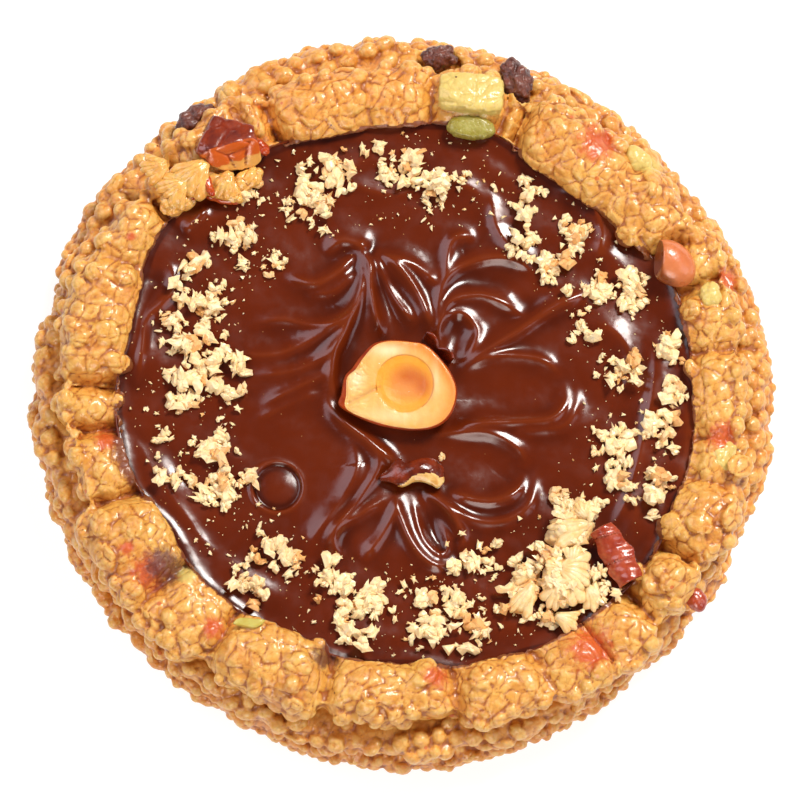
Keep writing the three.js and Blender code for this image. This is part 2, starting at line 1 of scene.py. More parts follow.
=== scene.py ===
"""A hazelnut cookie: knobbly dough round a pool of swirled chocolate, with nuts and fruit.

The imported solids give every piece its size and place. The crust and the chocolate are made
again here with their fine relief, the chopped nuts are scattered by Geometry Nodes, and each
nut and piece of fruit gets its own surface. Sizes are in millimetres in the layout that the
solids were drawn in; they turn into metres in the frame when a mesh is made.
"""

import json
import logging
import math
from dataclasses import dataclass, field
from enum import Enum
from typing import Callable, Sequence

import bmesh
import bpy
import numpy as np
from mathutils import Euler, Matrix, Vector

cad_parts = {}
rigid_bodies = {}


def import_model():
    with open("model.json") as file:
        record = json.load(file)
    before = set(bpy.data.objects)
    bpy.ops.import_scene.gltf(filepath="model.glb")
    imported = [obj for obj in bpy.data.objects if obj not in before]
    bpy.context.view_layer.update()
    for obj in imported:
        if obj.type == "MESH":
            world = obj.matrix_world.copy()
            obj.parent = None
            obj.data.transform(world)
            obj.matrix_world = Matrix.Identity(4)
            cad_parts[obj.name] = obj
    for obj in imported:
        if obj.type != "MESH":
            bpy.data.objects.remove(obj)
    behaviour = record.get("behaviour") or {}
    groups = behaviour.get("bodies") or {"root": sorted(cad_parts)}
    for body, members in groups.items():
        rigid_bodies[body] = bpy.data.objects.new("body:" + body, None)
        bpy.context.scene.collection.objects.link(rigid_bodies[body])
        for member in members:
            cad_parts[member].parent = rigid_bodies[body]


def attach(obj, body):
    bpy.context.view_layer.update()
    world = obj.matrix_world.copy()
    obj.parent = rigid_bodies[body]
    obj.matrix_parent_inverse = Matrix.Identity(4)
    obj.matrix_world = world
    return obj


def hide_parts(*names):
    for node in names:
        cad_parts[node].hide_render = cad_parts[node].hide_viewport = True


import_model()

LOG = logging.getLogger("cookie")
BODY = "root"
MM = 0.001
BEADS = ("Fine", "Middle", "Broad")
LAYOUT_SHIFT = np.array([-0.0304, -0.5137, 0.0])  # from the layout to the frame, in millimetres

Array = np.ndarray
Triple = tuple[float, float, float]
Colour = Triple
Rows = tuple[tuple[float, ...], ...]
Shape = tuple[Array, list[Array]]
Piece = bpy.types.Object
Node = bpy.types.Node
Socket = bpy.types.NodeSocket
Tree = bpy.types.NodeTree


# ---------- chance and noise


def scatter(ix: Array, iy: Array, iz: Array, salt: int) -> Array:
    """Scrambles whole coordinates and a salt into values in 0..1.

    Args:
        ix: Whole numbers along X.
        iy: Whole numbers along Y.
        iz: Whole numbers along Z.
        salt: Picks one of many independent patterns.

    Returns:
        One value in 0..1 for each coordinate.
    """
    word = np.uint32
    with np.errstate(over="ignore"):
        mixed = ix.astype(word) * word(374761393) ^ iy.astype(word) * word(668265263)
        mixed = mixed ^ iz.astype(word) * word(1440662683)
        mixed = (mixed ^ word(salt) ^ (mixed >> word(13))) * word(1274126177)
        mixed = (mixed ^ (mixed >> word(16))) * word(2246822519)
    return (mixed ^ (mixed >> word(15))) / 4294967296.0


def cells(points: Array, cell: float, salt: int) -> tuple[Array, Array]:
    """Distances to the scattered middles of cells packed side by side in space.

    Args:
        points: Places to look at, one row each.
        cell: Size of a cell, in the points' own unit.
        salt: Picks the pattern.

    Returns:
        Distances to the nearest and the second nearest middle, in cells.
    """
    scaled = points / cell
    base = np.floor(scaled).astype(np.int64)
    nearest, second = np.full(len(points), 9.0), np.full(len(points), 9.0)
    for dx, dy, dz in np.ndindex(3, 3, 3):
        ix, iy, iz = base[:, 0] + dx - 1, base[:, 1] + dy - 1, base[:, 2] + dz - 1
        fx = ix + scatter(ix, iy, iz, salt) - scaled[:, 0]
        fy = iy + scatter(ix, iy, iz, salt + 1) - scaled[:, 1]
        fz = iz + scatter(ix, iy, iz, salt + 2) - scaled[:, 2]
        square = fx * fx + fy * fy + fz * fz
        second = np.minimum(second, np.maximum(nearest, square))
        nearest = np.minimum(nearest, square)
    return np.sqrt(nearest), np.sqrt(second)


def knobs(points: Array, cell: float, salt: int) -> Array:
    """Soft rounded knobs: 1 on top of each, falling to 0 in the creases between them."""
    return np.maximum(0.0, 1.0 - cells(points, cell, salt)[0] ** 2)


def pillows(points: Array, cell: float, salt: int) -> Array:
    """Plump pillows with sharp creases: 0 in the creases, 1 on the tops."""
    nearest, second = cells(points, cell, salt)
    share = np.clip((second - nearest) / 0.5, 0, 1)
    return np.sqrt(1 - (1 - share) ** 2)


def bell(away: Array, width: float = 1.0) -> Array:
    """A soft bump: 1 where away is 0, and next to nothing past twice the width."""
    return np.exp(-((away / width) ** 2))


def between(a: Array, b: Array, c: Array, d: Array, part: Array) -> Array:
    """The smooth line's points from b to c, at parts in 0..1, with a and d its neighbours."""
    return 0.5 * (2 * b + (c - a) * part + (2 * a - 5 * b + 4 * c - d) * part**2
                  + (3 * b - a - 3 * c + d) * part**3)


def catmull_rom(points: Sequence[Sequence[float]], steps: int) -> Array:
    """A smooth line through given points.

    Args:
        points: The points, of any dimension.
        steps: Number of stretches between two neighbouring points.

    Returns:
        The line's points.
    """
    knots = np.asarray(points, dtype=float)
    knots = np.vstack([2 * knots[0] - knots[1], knots, 2 * knots[-1] - knots[-2]])
    part = np.linspace(0, 1, steps, endpoint=False)[:, None]
    fours = zip(knots[:-3], knots[1:-2], knots[2:-1], knots[3:])
    return np.vstack([*(between(*four, part) for four in fours), knots[-2:-1]])


# ---------- meshes


def new_mesh_object(name: str, points: Array, faces: Sequence[Array]) -> Piece:
    """Makes a smooth-shaded mesh object in the frame from layout points.

    Args:
        name: Name of the object.
        points: Vertices in layout millimetres.
        faces: Arrays of faces, each array with one number of corners.

    Returns:
        The object, linked to the scene.
    """
    mesh = bpy.data.meshes.new(name)
    mesh.vertices.add(len(points))
    mesh.vertices.foreach_set("co", ((points + LAYOUT_SHIFT) * MM).ravel())
    if faces:
        sizes = np.concatenate([np.full(len(part), part.shape[1]) for part in faces])
        mesh.loops.add(int(sizes.sum()))
        mesh.loops.foreach_set("vertex_index", np.concatenate([part.ravel() for part in faces]))
        mesh.polygons.add(len(sizes))
        mesh.polygons.foreach_set("loop_start", np.concatenate([[0], np.cumsum(sizes)[:-1]]))
    mesh.update(calc_edges=True)
    mesh.validate()
    mesh.shade_smooth()
    piece = bpy.data.objects.new(name, mesh)
    bpy.context.scene.collection.objects.link(piece)
    return piece


def store(piece: Piece, **layers: Array) -> None:
    """Stores numbers per vertex on the piece by name, for its material or its node tree."""
    for name, values in layers.items():
        layer = piece.data.attributes.new(name, "FLOAT", "POINT")
        layer.data.foreach_set("value", np.asarray(values, dtype=np.float32).ravel())


def vertex_rows(mesh: bpy.types.Mesh, what: str) -> Array:
    """Reads each vertex's place, "co", or its "normal" as rows of three numbers."""
    rows = np.empty(len(mesh.vertices) * 3)
    mesh.vertices.foreach_get(what, rows)
    return rows.reshape(-1, 3)


def layout_points(piece: Piece) -> Array:
    """Reads the piece's vertices back in layout millimetres."""
    return vertex_rows(piece.data, "co") / MM - LAYOUT_SHIFT


def hollows(piece: Piece, rounds: int) -> Array:
    """How deep each vertex lies below the piece's evened-out surface.

    Args:
        piece: The piece.
        rounds: How often the surface is evened out; more rounds find wider hollows.

    Returns:
        Depth in millimetres, above 0 in creases and below 0 on bumps.
    """
    count = len(piece.data.vertices)
    edges = np.empty(len(piece.data.edges) * 2, dtype=np.int32)
    piece.data.edges.foreach_get("vertices", edges)
    ends = np.concatenate([edges, edges.reshape(-1, 2)[:, ::-1].ravel()])
    own, other = ends[0::2], ends[1::2]
    degree = np.maximum(np.bincount(own, minlength=count), 1)
    points = layout_points(piece)
    evened = points
    for _ in range(rounds):
        sums = [np.bincount(own, weights=evened[other, axis], minlength=count) for axis in range(3)]
        evened = 0.5 * evened + 0.5 * np.stack([total / degree for total in sums], axis=-1)
    return ((evened - points) * vertex_rows(piece.data, "normal")).sum(axis=-1)


def ring_faces(rings: int, sides: int, wrap: bool) -> Array:
    """Quads between closed rings of points that are stacked one after another.

    Args:
        rings: Number of rings.
        sides: Points in each ring.
        wrap: Whether the last ring joins the first one, as on a torus.

    Returns:
        The quads' corners, facing outwards for rings that run up the outside.
    """
    ring = np.arange(rings if wrap else rings - 1)[:, None]
    side = np.arange(sides)[None, :]
    above = (ring + 1) % rings
    beside = (side + 1) % sides
    quads = [ring * sides + side, ring * sides + beside, above * sides + beside, above * sides + side]
    return np.stack(np.broadcast_arrays(*quads), axis=-1).reshape(-1, 4)


def circle(angle: Array, radius: Array, height: float) -> Array:
    """A level ring of points."""
    return np.stack([radius * np.cos(angle), radius * np.sin(angle), np.full_like(radius, height)], axis=-1)


def closed_by_poles(rings: Array, bottom: Sequence[float], top: Sequence[float]) -> Shape:
    """Closes stacked rings with a point below and a point above.

    Args:
        rings: Ring points, indexed ring, side, axis.
        bottom: The point that closes the first ring.
        top: The point that closes the last ring.

    Returns:
        All points, and the arrays of quads and triangles.
    """
    count, sides = rings.shape[:2]
    points = np.vstack([rings.reshape(-1, 3), [bottom], [top]])
    side = np.arange(sides)
    beside = (side + 1) % sides
    low, high = count * sides, count * sides + 1
    last = (count - 1) * sides
    under = np.stack([np.full(sides, low), beside, side], axis=-1)
    over = np.stack([np.full(sides, high), last + side, last + beside], axis=-1)
    return points, [ring_faces(count, sides, wrap=False), np.vstack([under, over])]


def turned(points: Array, at: Sequence[float], turn: Sequence[float]) -> Array:
    """Turns points about X, then Y, then Z in degrees, and moves them to their place."""
    matrix = np.array(Euler([math.radians(a) for a in turn], "XYZ").to_matrix())
    return points @ matrix.T + np.asarray(at)


def joined(parts: Sequence[tuple[Array, Sequence[Array]]]) -> Shape:
    """Puts several shapes into one list of points and one list of faces."""
    faces, start = [], 0
    for points, own in parts:
        faces += [part + start for part in own]
        start += len(points)
    return np.vstack([points for points, _ in parts]), faces


def unit_ball(detail: int) -> tuple[Array, Array]:
    """An even ball of triangles.

    Args:
        detail: Number of subdivisions of the icosahedron.

    Returns:
        Its points and its triangles.
    """
    source = bpy.data.meshes.new("ball")
    work = bmesh.new()
    bmesh.ops.create_icosphere(work, subdivisions=detail, radius=1.0)
    work.to_mesh(source)
    work.free()
    points = vertex_rows(source, "co")
    faces = np.array([list(face.vertices) for face in source.polygons])
    bpy.data.meshes.remove(source)
    return points, faces


def sheet_points(place: Callable[[Array, Array], Array], across: int, along: int,
                 thickness: float) -> Shape:
    """A closed sheet of even thickness round a middle surface.

    Args:
        place: Gives the middle surface for u and v in 0..1.
        across: Number of cells along u.
        along: Number of cells along v.
        thickness: Thickness of the sheet.

    Returns:
        Its points and its arrays of quads.
    """
    u, v = np.meshgrid(np.linspace(0, 1, across + 1), np.linspace(0, 1, along + 1))
    step = 0.01
    normal = np.cross(place(u + step, v) - place(u - step, v), place(u, v + step) - place(u, v - step))
    normal /= np.linalg.norm(normal, axis=-1, keepdims=True)
    middle = place(u, v)
    edge = np.minimum(np.minimum(u, 1 - u) * across, np.minimum(v, 1 - v) * along)
    half = (0.5 * thickness * np.clip(0.35 + 0.4 * edge, 0, 1))[..., None]
    points = np.concatenate([(middle + half * normal).reshape(-1, 3),
                             (middle - half * normal).reshape(-1, 3)])
    width, layer = across + 1, (across + 1) * (along + 1)
    i, j = np.meshgrid(np.arange(across), np.arange(along))
    a = (j * width + i).ravel()
    upper = np.stack([a, a + 1, a + width + 1, a + width], axis=-1)
    lower = layer + upper[:, ::-1]
    border = [*range(across), *(width * k + across for k in range(along))]
    border += [*(along * width + k for k in range(across, 0, -1)), *(width * k for k in range(along, 0, -1))]
    ring = np.array(border)
    following = np.roll(ring, -1)
    rim = np.stack([ring, layer + ring, layer + following, following], axis=-1)
    return points, [upper, lower, rim]


# ---------- node trees


class Graph:
    """Adds nodes to one tree and links them, so that trees read as short formulas."""

    def __init__(self, tree: Tree) -> None:
        """Keeps the tree that nodes are added to."""
        self.tree = tree

    def node(self, kind: str, inputs: dict | None = None, **settings: object) -> Node:
        """Adds a node.

        Args:
            kind: Blender's name of the node's type.
            inputs: Values or sockets for its inputs, by name or number.
            **settings: The node's own properties.

        Returns:
            The node.
        """
        node = self.tree.nodes.new(kind)
        for name, value in settings.items():
            setattr(node, name, value)
        for name, value in (inputs or {}).items():
            self.feed(node.inputs[name], value)
        return node

    def feed(self, socket: Socket, value: object) -> None:
        """Links a socket to an input, or sets the input's own value; colours are opaque."""
        if isinstance(value, Socket):
            self.tree.links.new(value, socket)
        else:
            socket.default_value = (*value, 1.0) if socket.type == "RGBA" else value

    def math(self, operation: str, *values: object, clamp: bool = False) -> Socket:
        """One arithmetic step on numbers."""
        kind = "ShaderNodeMath"
        return self.node(kind, dict(enumerate(values)), operation=operation, use_clamp=clamp).outputs[0]

    def vector(self, operation: str, first: object, second: object = None, scale: object = None) -> Socket:
        """One arithmetic step on vectors."""
        inputs = {0: first}
        if second is not None:
            inputs[1] = second
        if scale is not None:
            inputs["Scale"] = scale
        return self.node("ShaderNodeVectorMath", inputs, operation=operation).outputs[0]

    def remap(self, value: object, low: float, high: float, to_low: float = 0.0,
              to_high: float = 1.0) -> Socket:
        """Maps a range of numbers to another one, smoothly and clamped."""
        inputs = {"Value": value, "From Min": low, "From Max": high, "To Min": to_low, "To Max": to_high}
        return self.node("ShaderNodeMapRange", inputs, interpolation_type="SMOOTHSTEP").outputs[0]

    def mix(self, share: object, first: object, second: object) -> Socket:
        """Mixes two colours by a share in 0..1."""
        inputs = {0: share, 6: first, 7: second}
        return self.node("ShaderNodeMix", inputs, data_type="RGBA", clamp_factor=True).outputs[2]

    def noise(self, place: object, scale: object, detail: float = 2.0, rough: float = 0.5) -> Node:
        """A noise texture; its first output is the value, its second a colour."""
        inputs = {"Vector": place, "Scale": scale, "Detail": detail, "Roughness": rough}
        return self.node("ShaderNodeTexNoise", inputs)

    def bump(self, height: object, relief: float) -> Socket:
        """Normal of a surface whose height varies by the relief, in millimetres."""
        inputs = {"Height": height, "Distance": relief * MM, "Strength": 1.0}
        return self.node("ShaderNodeBump", inputs).outputs[0]

    def cells(self, place: object, scale: object, feature: str = "F1") -> Socket:
        """Distance to the nearest point of a Voronoi pattern."""
        return self.node("ShaderNodeTexVoronoi", {"Vector": place, "Scale": scale},
                         feature=feature).outputs["Distance"]


def shader_group(name: str, sockets: dict[str, str], outputs: dict[str, str],
                 fill: Callable[[Graph, Node, Node], None]) -> Tree:
    """Builds a shader node group once and finds it again afterwards.

    Args:
        name: The group's name.
        sockets: Kind of each input socket by name.
        outputs: Kind of each output socket by name.
        fill: Adds the nodes between the group's input and output.

    Returns:
        The group.
    """
    if name in bpy.data.node_groups:
        return bpy.data.node_groups[name]
    tree = bpy.data.node_groups.new(name, "ShaderNodeTree")
    for label, kind in sockets.items():
        tree.interface.new_socket(label, in_out="INPUT", socket_type=kind)
    for label, kind in outputs.items():
        tree.interface.new_socket(label, in_out="OUTPUT", socket_type=kind)
    graph = Graph(tree)
    fill(graph, tree.nodes.new("NodeGroupInput"), tree.nodes.new("NodeGroupOutput"))
    return tree


FLOAT, VECTOR, COLOUR = "NodeSocketFloat", "NodeSocketVector", "NodeSocketColor"


def mottle_group() -> Tree:
    """Two colours mixed in soft uneven patches; used by every baked or cut surface."""
    def fill(graph: Graph, start: Node, end: Node) -> None:
        """Adds the noise and the mix."""
        noise = graph.noise(start.outputs["Place"], start.outputs["Scale"], 4.0, 0.6)
        contrast = graph.math("MULTIPLY", graph.math("SUBTRACT", noise.outputs[0], 0.5),
                              start.outputs["Contrast"])
        mask = graph.math("ADD", contrast, start.outputs["Balance"], clamp=True)
        graph.feed(end.inputs["Colour"], graph.mix(mask, start.outputs["First"], start.outputs["Second"]))

    sockets = {"Place": VECTOR, "Scale": FLOAT, "Contrast": FLOAT, "Balance": FLOAT, "First": COLOUR,
               "Second": COLOUR}
    return shader_group("mottle", sockets, {"Colour": COLOUR}, fill)


def grain_group() -> Tree:
    """Height of a fine knobbly grain: small rounded cells over a finer noise."""
    def fill(graph: Graph, start: Node, end: Node) -> None:
        """Adds the cells and the noise."""
        scale = start.outputs["Scale"]
        wobble = graph.noise(start.outputs["Place"], graph.math("MULTIPLY", scale, 0.6), 1.0)
        drift = graph.vector("SCALE", wobble.outputs[1], scale=graph.math("DIVIDE", 0.7, scale))
        place = graph.vector("ADD", start.outputs["Place"], drift)
        cell = graph.cells(place, scale)
        dome = graph.math("SUBTRACT", 1.0, graph.math("POWER", cell, 2.0))
        fine = graph.noise(place, graph.math("MULTIPLY", scale, 3.0), 2.0).outputs[0]
        share = start.outputs["Noise"]
        graph.feed(end.inputs["Height"], graph.math("ADD", dome, graph.math("MULTIPLY", fine, share)))

    return shader_group("grain", {"Place": VECTOR, "Scale": FLOAT, "Noise": FLOAT}, {"Height": FLOAT}, fill)


def crease_group() -> Tree:
    """Plump cells packed side by side: their height, and a mask of the creases between them."""
    def fill(graph: Graph, start: Node, end: Node) -> None:
        """Bends the place a little and measures the distance to the cells' borders."""
        scale = start.outputs["Scale"]
        wobble = graph.noise(start.outputs["Place"], graph.math("MULTIPLY", scale, 0.9), 1.0)
        drift = graph.vector("SCALE", wobble.outputs[1], scale=graph.math("DIVIDE", 0.8, scale))
        place = graph.vector("ADD", start.outputs["Place"], drift)
        border = graph.cells(place, scale, "DISTANCE_TO_EDGE")
        slope = graph.math("SUBTRACT", 1.0, graph.math("DIVIDE", border, 0.32), clamp=True)
        dome = graph.math("SQRT", graph.math("SUBTRACT", 1.0, graph.math("MULTIPLY", slope, slope)))
        graph.feed(end.inputs["Height"], dome)
        graph.feed(end.inputs["Crease"], graph.remap(border, 0.0, 0.11, 1.0, 0.0))

    return shader_group("creases", {"Place": VECTOR, "Scale": FLOAT}, {"Height": FLOAT, "Crease": FLOAT},
                        fill)


def speck_group() -> Tree:
    """Mask of small scattered specks."""
    def fill(graph: Graph, start: Node, end: Node) -> None:
        """Keeps the middles of the cells that a second pattern picks."""
        texture = graph.node("ShaderNodeTexVoronoi", {"Vector": start.outputs["Place"],
                                                      "Scale": start.outputs["Scale"]})
        dot = graph.math("LESS_THAN", texture.outputs["Distance"], start.outputs["Size"])
        parts = graph.node("ShaderNodeSeparateColor", {"Color": texture.outputs["Color"]})
        kept = graph.math("LESS_THAN", parts.outputs[0], start.outputs["Share"])
        graph.feed(end.inputs["Mask"], graph.math("MULTIPLY", dot, kept))

    sockets = {"Place": VECTOR, "Scale": FLOAT, "Size": FLOAT, "Share": FLOAT}
    return shader_group("specks", sockets, {"Mask": FLOAT}, fill)


# ---------- finishes


@dataclass(frozen=True)
class Finish:
    """A surface whose colour wanders between two tones and that has a fine grain.

    Attributes:
        name: Name of the material.
        tone: Main colour.
        other: Colour of the patches.
        patch: Size of a patch, in millimetres.
        grain: Size of the grain's cells, in millimetres.
        relief: Height of the grain, in millimetres.
        rough: Roughness.
        coat: Weight of the gloss on top.
        glow: Share of light that enters and leaves again.
        depth: How far that light travels, in millimetres.
        shine: Strength of the plain reflection; 0.5 is that of glass.
    """

    name: str
    tone: Colour
    other: Colour
    patch: float = 2.0
    grain: float = 0.5
    relief: float = 0.03
    rough: float = 0.4
    coat: float = 0.0
    glow: float = 0.1
    depth: float = 0.8
    shine: float = 0.5

    def material(self) -> bpy.types.Material:
        """Builds the material, or finds it again."""
        known = bpy.data.materials.get(self.name)
        if known:
            return known
        material = bpy.data.materials.new(self.name)
        material.use_nodes = True
        material.node_tree.nodes.clear()
        graph = Graph(material.node_tree)
        place = graph.node("ShaderNodeTexCoord").outputs["Object"]
        shader = graph.node("ShaderNodeBsdfPrincipled")
        self.settle(shader)
        graph.feed(shader.inputs["Base Color"], self.colour(graph, place))
        graph.feed(shader.inputs["Roughness"], self.roughness(graph, place))
        graph.feed(shader.inputs["Normal"], self.bump(graph, place))
        output = graph.node("ShaderNodeOutputMaterial")
        graph.feed(output.inputs["Surface"], shader.outputs[0])
        return material

    def settle(self, shader: Node) -> None:
        """Sets what is the same all over the surface on the shader's own sockets."""
        shader.inputs["Coat Weight"].default_value = self.coat
        shader.inputs["Coat Roughness"].default_value = 0.12
        shader.inputs["Subsurface Weight"].default_value = self.glow
        shader.inputs["Subsurface Radius"].default_value = (1.0, 0.55, 0.25)
        shader.inputs["Subsurface Scale"].default_value = self.depth * MM
        shader.inputs["Roughness"].default_value = self.rough
        shader.inputs["Specular IOR Level"].default_value = self.shine

    def mottled(self, graph: Graph, place: object, first: object, second: object, size: float,
                contrast: float = 3.0, balance: float = 0.5) -> Node:
        """Places the mottle group with patches of the given size in millimetres."""
        inputs = {"Place": place, "Scale": 1 / (size * MM), "Contrast": contrast, "Balance": balance,
                  "First": first, "Second": second}
        return graph.node("ShaderNodeGroup", inputs, node_tree=mottle_group())

    def specks(self, graph: Graph, place: object, cell: float, size: float, share: float) -> Socket:
        """Places the speck group; cell is in millimetres, size in parts of a cell."""
        inputs = {"Place": place, "Scale": 1 / (cell * MM), "Size": size, "Share": share}
        return graph.node("ShaderNodeGroup", inputs, node_tree=speck_group()).outputs[0]

    def grain_height(self, graph: Graph, place: object, cell: float, noise: float) -> Socket:
        """Places the grain group; cell is in millimetres."""
        inputs = {"Place": place, "Scale": 1 / (cell * MM), "Noise": noise}
        return graph.node("ShaderNodeGroup", inputs, node_tree=grain_group()).outputs[0]

    def creased(self, graph: Graph, place: object, cell: float) -> Node:
        """Places the crease group; cell is in millimetres."""
        return graph.node("ShaderNodeGroup", {"Place": place, "Scale": 1 / (cell * MM)},
                          node_tree=crease_group())

    @staticmethod
    def stored(graph: Graph, name: str) -> Socket:
        """Reads one number that the mesh stores."""
        return graph.node("ShaderNodeAttribute", attribute_name=name).outputs["Fac"]

    def colour(self, graph: Graph, place: object) -> Socket:
        """Colour of the surface."""
        return self.mottled(graph, place, self.tone, self.other, self.patch).outputs["Colour"]

    def roughness(self, graph: Graph, place: object) -> Socket:
        """Roughness of the surface, a little uneven."""
        noise = graph.noise(place, 1 / (1.5 * MM), 2.0).outputs[0]
        return graph.remap(noise, 0.3, 0.7, self.rough * 0.8, min(1.0, self.rough * 1.25))

    def bump(self, graph: Graph, place: object) -> Socket:
        """Normal of the surface with its grain."""
        height = self.grain_height(graph, place, self.grain, 0.5)
        return graph.bump(height, self.relief)


@dataclass(frozen=True)
class DoughFinish(Finish):
    """Baked dough: painted highlights on its knobs, painted shade in its creases, browner low on the wall,
    with stains.
    """

    # pale is a painted highlight on the knobs, and crease is painted shade in the creases.
    pale: Colour = (0.83, 0.51, 0.14)
    crease: Colour = (0.34, 0.083, 0.007)
    base: Colour = (0.71, 0.25, 0.026)
    red: Colour = (0.58, 0.085, 0.012)
    plum: Colour = (0.095, 0.016, 0.012)
    green: Colour = (0.68, 0.54, 0.15)
    chocolate: Colour = (0.16, 0.022, 0.004)

    def colour(self, graph: Graph, place: object) -> Socket:
        """Dough colour from the height, soft patches and the stains, with painted highlights on the knobs and
        painted shade in the creases, both read from the relief.
        """
        patches = self.mottled(graph, place, self.tone, self.other, self.patch, 3.6, 0.42)
        hollow, wide = self.stored(graph, "hollow"), self.stored(graph, "wide_hollow")
        toned = graph.mix(self.stored(graph, "low"), patches.outputs["Colour"], self.base)
        # Painted highlight: the tops of the knobs turn pale in scattered spots.
        spots = graph.noise(place, 1 / (1.3 * MM), 3.0).outputs[0]
        lift = graph.math("MULTIPLY", graph.remap(hollow, 0.0, -0.06), graph.remap(spots, 0.3, 0.6))
        toned = graph.mix(graph.math("MULTIPLY", lift, 0.7), toned, self.pale)
        # Painted shade: the crease colour darkens the fine creases and the wide and deep hollows.
        fine = self.creased(graph, place, self.grain).outputs["Crease"]
        toned = graph.mix(graph.math("MULTIPLY", fine, 0.15), toned, self.crease)
        toned = graph.mix(graph.remap(wide, 0.05, 0.6, 0.0, 0.8), toned, self.crease)
        toned = graph.mix(graph.remap(hollow, -0.01, 0.09, 0.0, 0.9), toned, self.crease)
        ragged = graph.noise(place, 1 / (0.9 * MM), 4.0, 0.7).outputs[0]
        wander = graph.math("MULTIPLY", graph.math("SUBTRACT", ragged, 0.5), 1.3)
        stains = (("red", self.red, 0.92), ("plum", self.plum, 0.85), ("green", self.green, 0.8),
                  ("smear", self.chocolate, 0.9))
        for name, stain, strength in stains:
            edge = graph.math("ADD", self.stored(graph, name), wander)
            toned = graph.mix(graph.math("MULTIPLY", graph.remap(edge, 0.3, 0.9), strength), toned, stain)
        dark = self.specks(graph, place, 2.1, 0.07, 0.22)
        toned = graph.mix(dark, toned, (0.16, 0.05, 0.015))
        rosy = self.specks(graph, place, 2.9, 0.1, 0.16)
        return graph.mix(graph.math("MULTIPLY", rosy, 0.7), toned, self.red)

    def bump(self, graph: Graph, place: object) -> Socket:
        """Fine cells over the modelled beads."""
        coarse = self.creased(graph, place, self.grain).outputs["Height"]
        fine = self.creased(graph, place, self.grain * 0.5).outputs["Height"]
        height = graph.math("ADD", coarse, graph.math("MULTIPLY", fine, 0.35))
        return graph.bump(height, self.relief)


@dataclass(frozen=True)
class ChocolateFinish(Finish):
    """Set chocolate spread: smooth and glossy, barely mottled, with crumbs of nut dust, painted shade in its
    folds and a painted highlight on their crests.
    """

    dust: Colour = (0.42, 0.20, 0.07)
    # crest is a lighter, warmer painted highlight on the crests of the folds; the colour below it is painted
    # shade in the folds.
    crest: Colour = (0.165, 0.024, 0.0035)
    painted_valley_shade: Colour = (0.050, 0.0055, 0.0012)

    def colour(self, graph: Graph, place: object) -> Socket:
        """Brown with painted shade in the folds and a lighter, warmer painted highlight on their crests, with
        dust specks.
        """
        base = self.mottled(graph, place, self.tone, self.other, self.patch, 2.0, 0.5).outputs["Colour"]
        hollow = self.stored(graph, "hollow")
        # Painted shade in the hollows, then a painted highlight on the crests.
        base = graph.mix(graph.remap(hollow, 0.0, 0.16, 0.0, 0.8), base, self.painted_valley_shade)
        base = graph.mix(graph.remap(hollow, 0.0, -0.2, 0.0, 0.7), base, self.crest)
        return graph.mix(self.specks(graph, place, 1.2, 0.045, 0.35), base, self.dust)

    def bump(self, graph: Graph, place: object) -> Socket:
        """Faint waves, so that reflections aren't perfectly even."""
        waves = graph.noise(place, 1 / (1.6 * MM), 1.5).outputs[0]
        return graph.bump(waves, self.relief)


@dataclass(frozen=True)
class CrumbFinish(Finish):
    """Chopped nut: cream on top, with painted shade warming its foot, and some scraps browned all over."""

    # Colour of the browned scraps, also used as painted shade round each scrap's foot.
    toast_and_foot_shade: Colour = (0.78, 0.36, 0.09)

    def colour(self, graph: Graph, place: object) -> Socket:
        """Cream, browned by each scrap's own tone, with painted shade low on each scrap."""
        base = self.mottled(graph, place, self.tone, self.other, self.patch).outputs["Colour"]
        # Painted shade: the low part of each scrap, by its rise, turns brown.
        base = graph.mix(graph.remap(self.stored(graph, "rise"), 0.0, 0.7, 0.6, 0.0), base, self.toast_and_foot_shade)
        return graph.mix(graph.remap(self.stored(graph, "tone"), 0.72, 0.98, 0.0, 0.85), base, self.toast_and_foot_shade)


@dataclass(frozen=True)
class KernelFinish(Finish):
    """The cut face of a hazelnut: cream, with an amber ring round a peach-coloured dish, painted highlights
    on the face and painted shade in the dish.
    """

    warm: Colour = (0.74, 0.21, 0.016)
    # Colour of the painted highlights on the cut face.
    white: Colour = (0.93, 0.76, 0.45)
    amber: Colour = (0.80, 0.34, 0.024)
    peach: Colour = (0.74, 0.26, 0.050)
    # deep is painted shade in the dish.
    deep: Colour = (0.55, 0.11, 0.010)
    line: Colour = (0.42, 0.10, 0.012)

    def colour(self, graph: Graph, place: object) -> Socket:
        """Cream outside, then by the masks that the mesh stores."""
        toned = self.mottled(graph, place, self.tone, self.other, self.patch).outputs["Colour"]
        # white and deep are painted light and shade; the other masks are the kernel's own colours.
        masks = (("warm", self.warm, 1.0), ("white", self.white, 0.8), ("amber", self.amber, 0.95),
                 ("peach", self.peach, 0.9), ("deep", self.deep, 0.8), ("line", self.line, 0.75))
        for name, colour, strength in masks:
            toned = graph.mix(graph.math("MULTIPLY", self.stored(graph, name), strength), toned, colour)
        return graph.mix(self.specks(graph, place, 0.9, 0.06, 0.3), toned, (1.0, 0.93, 0.78))


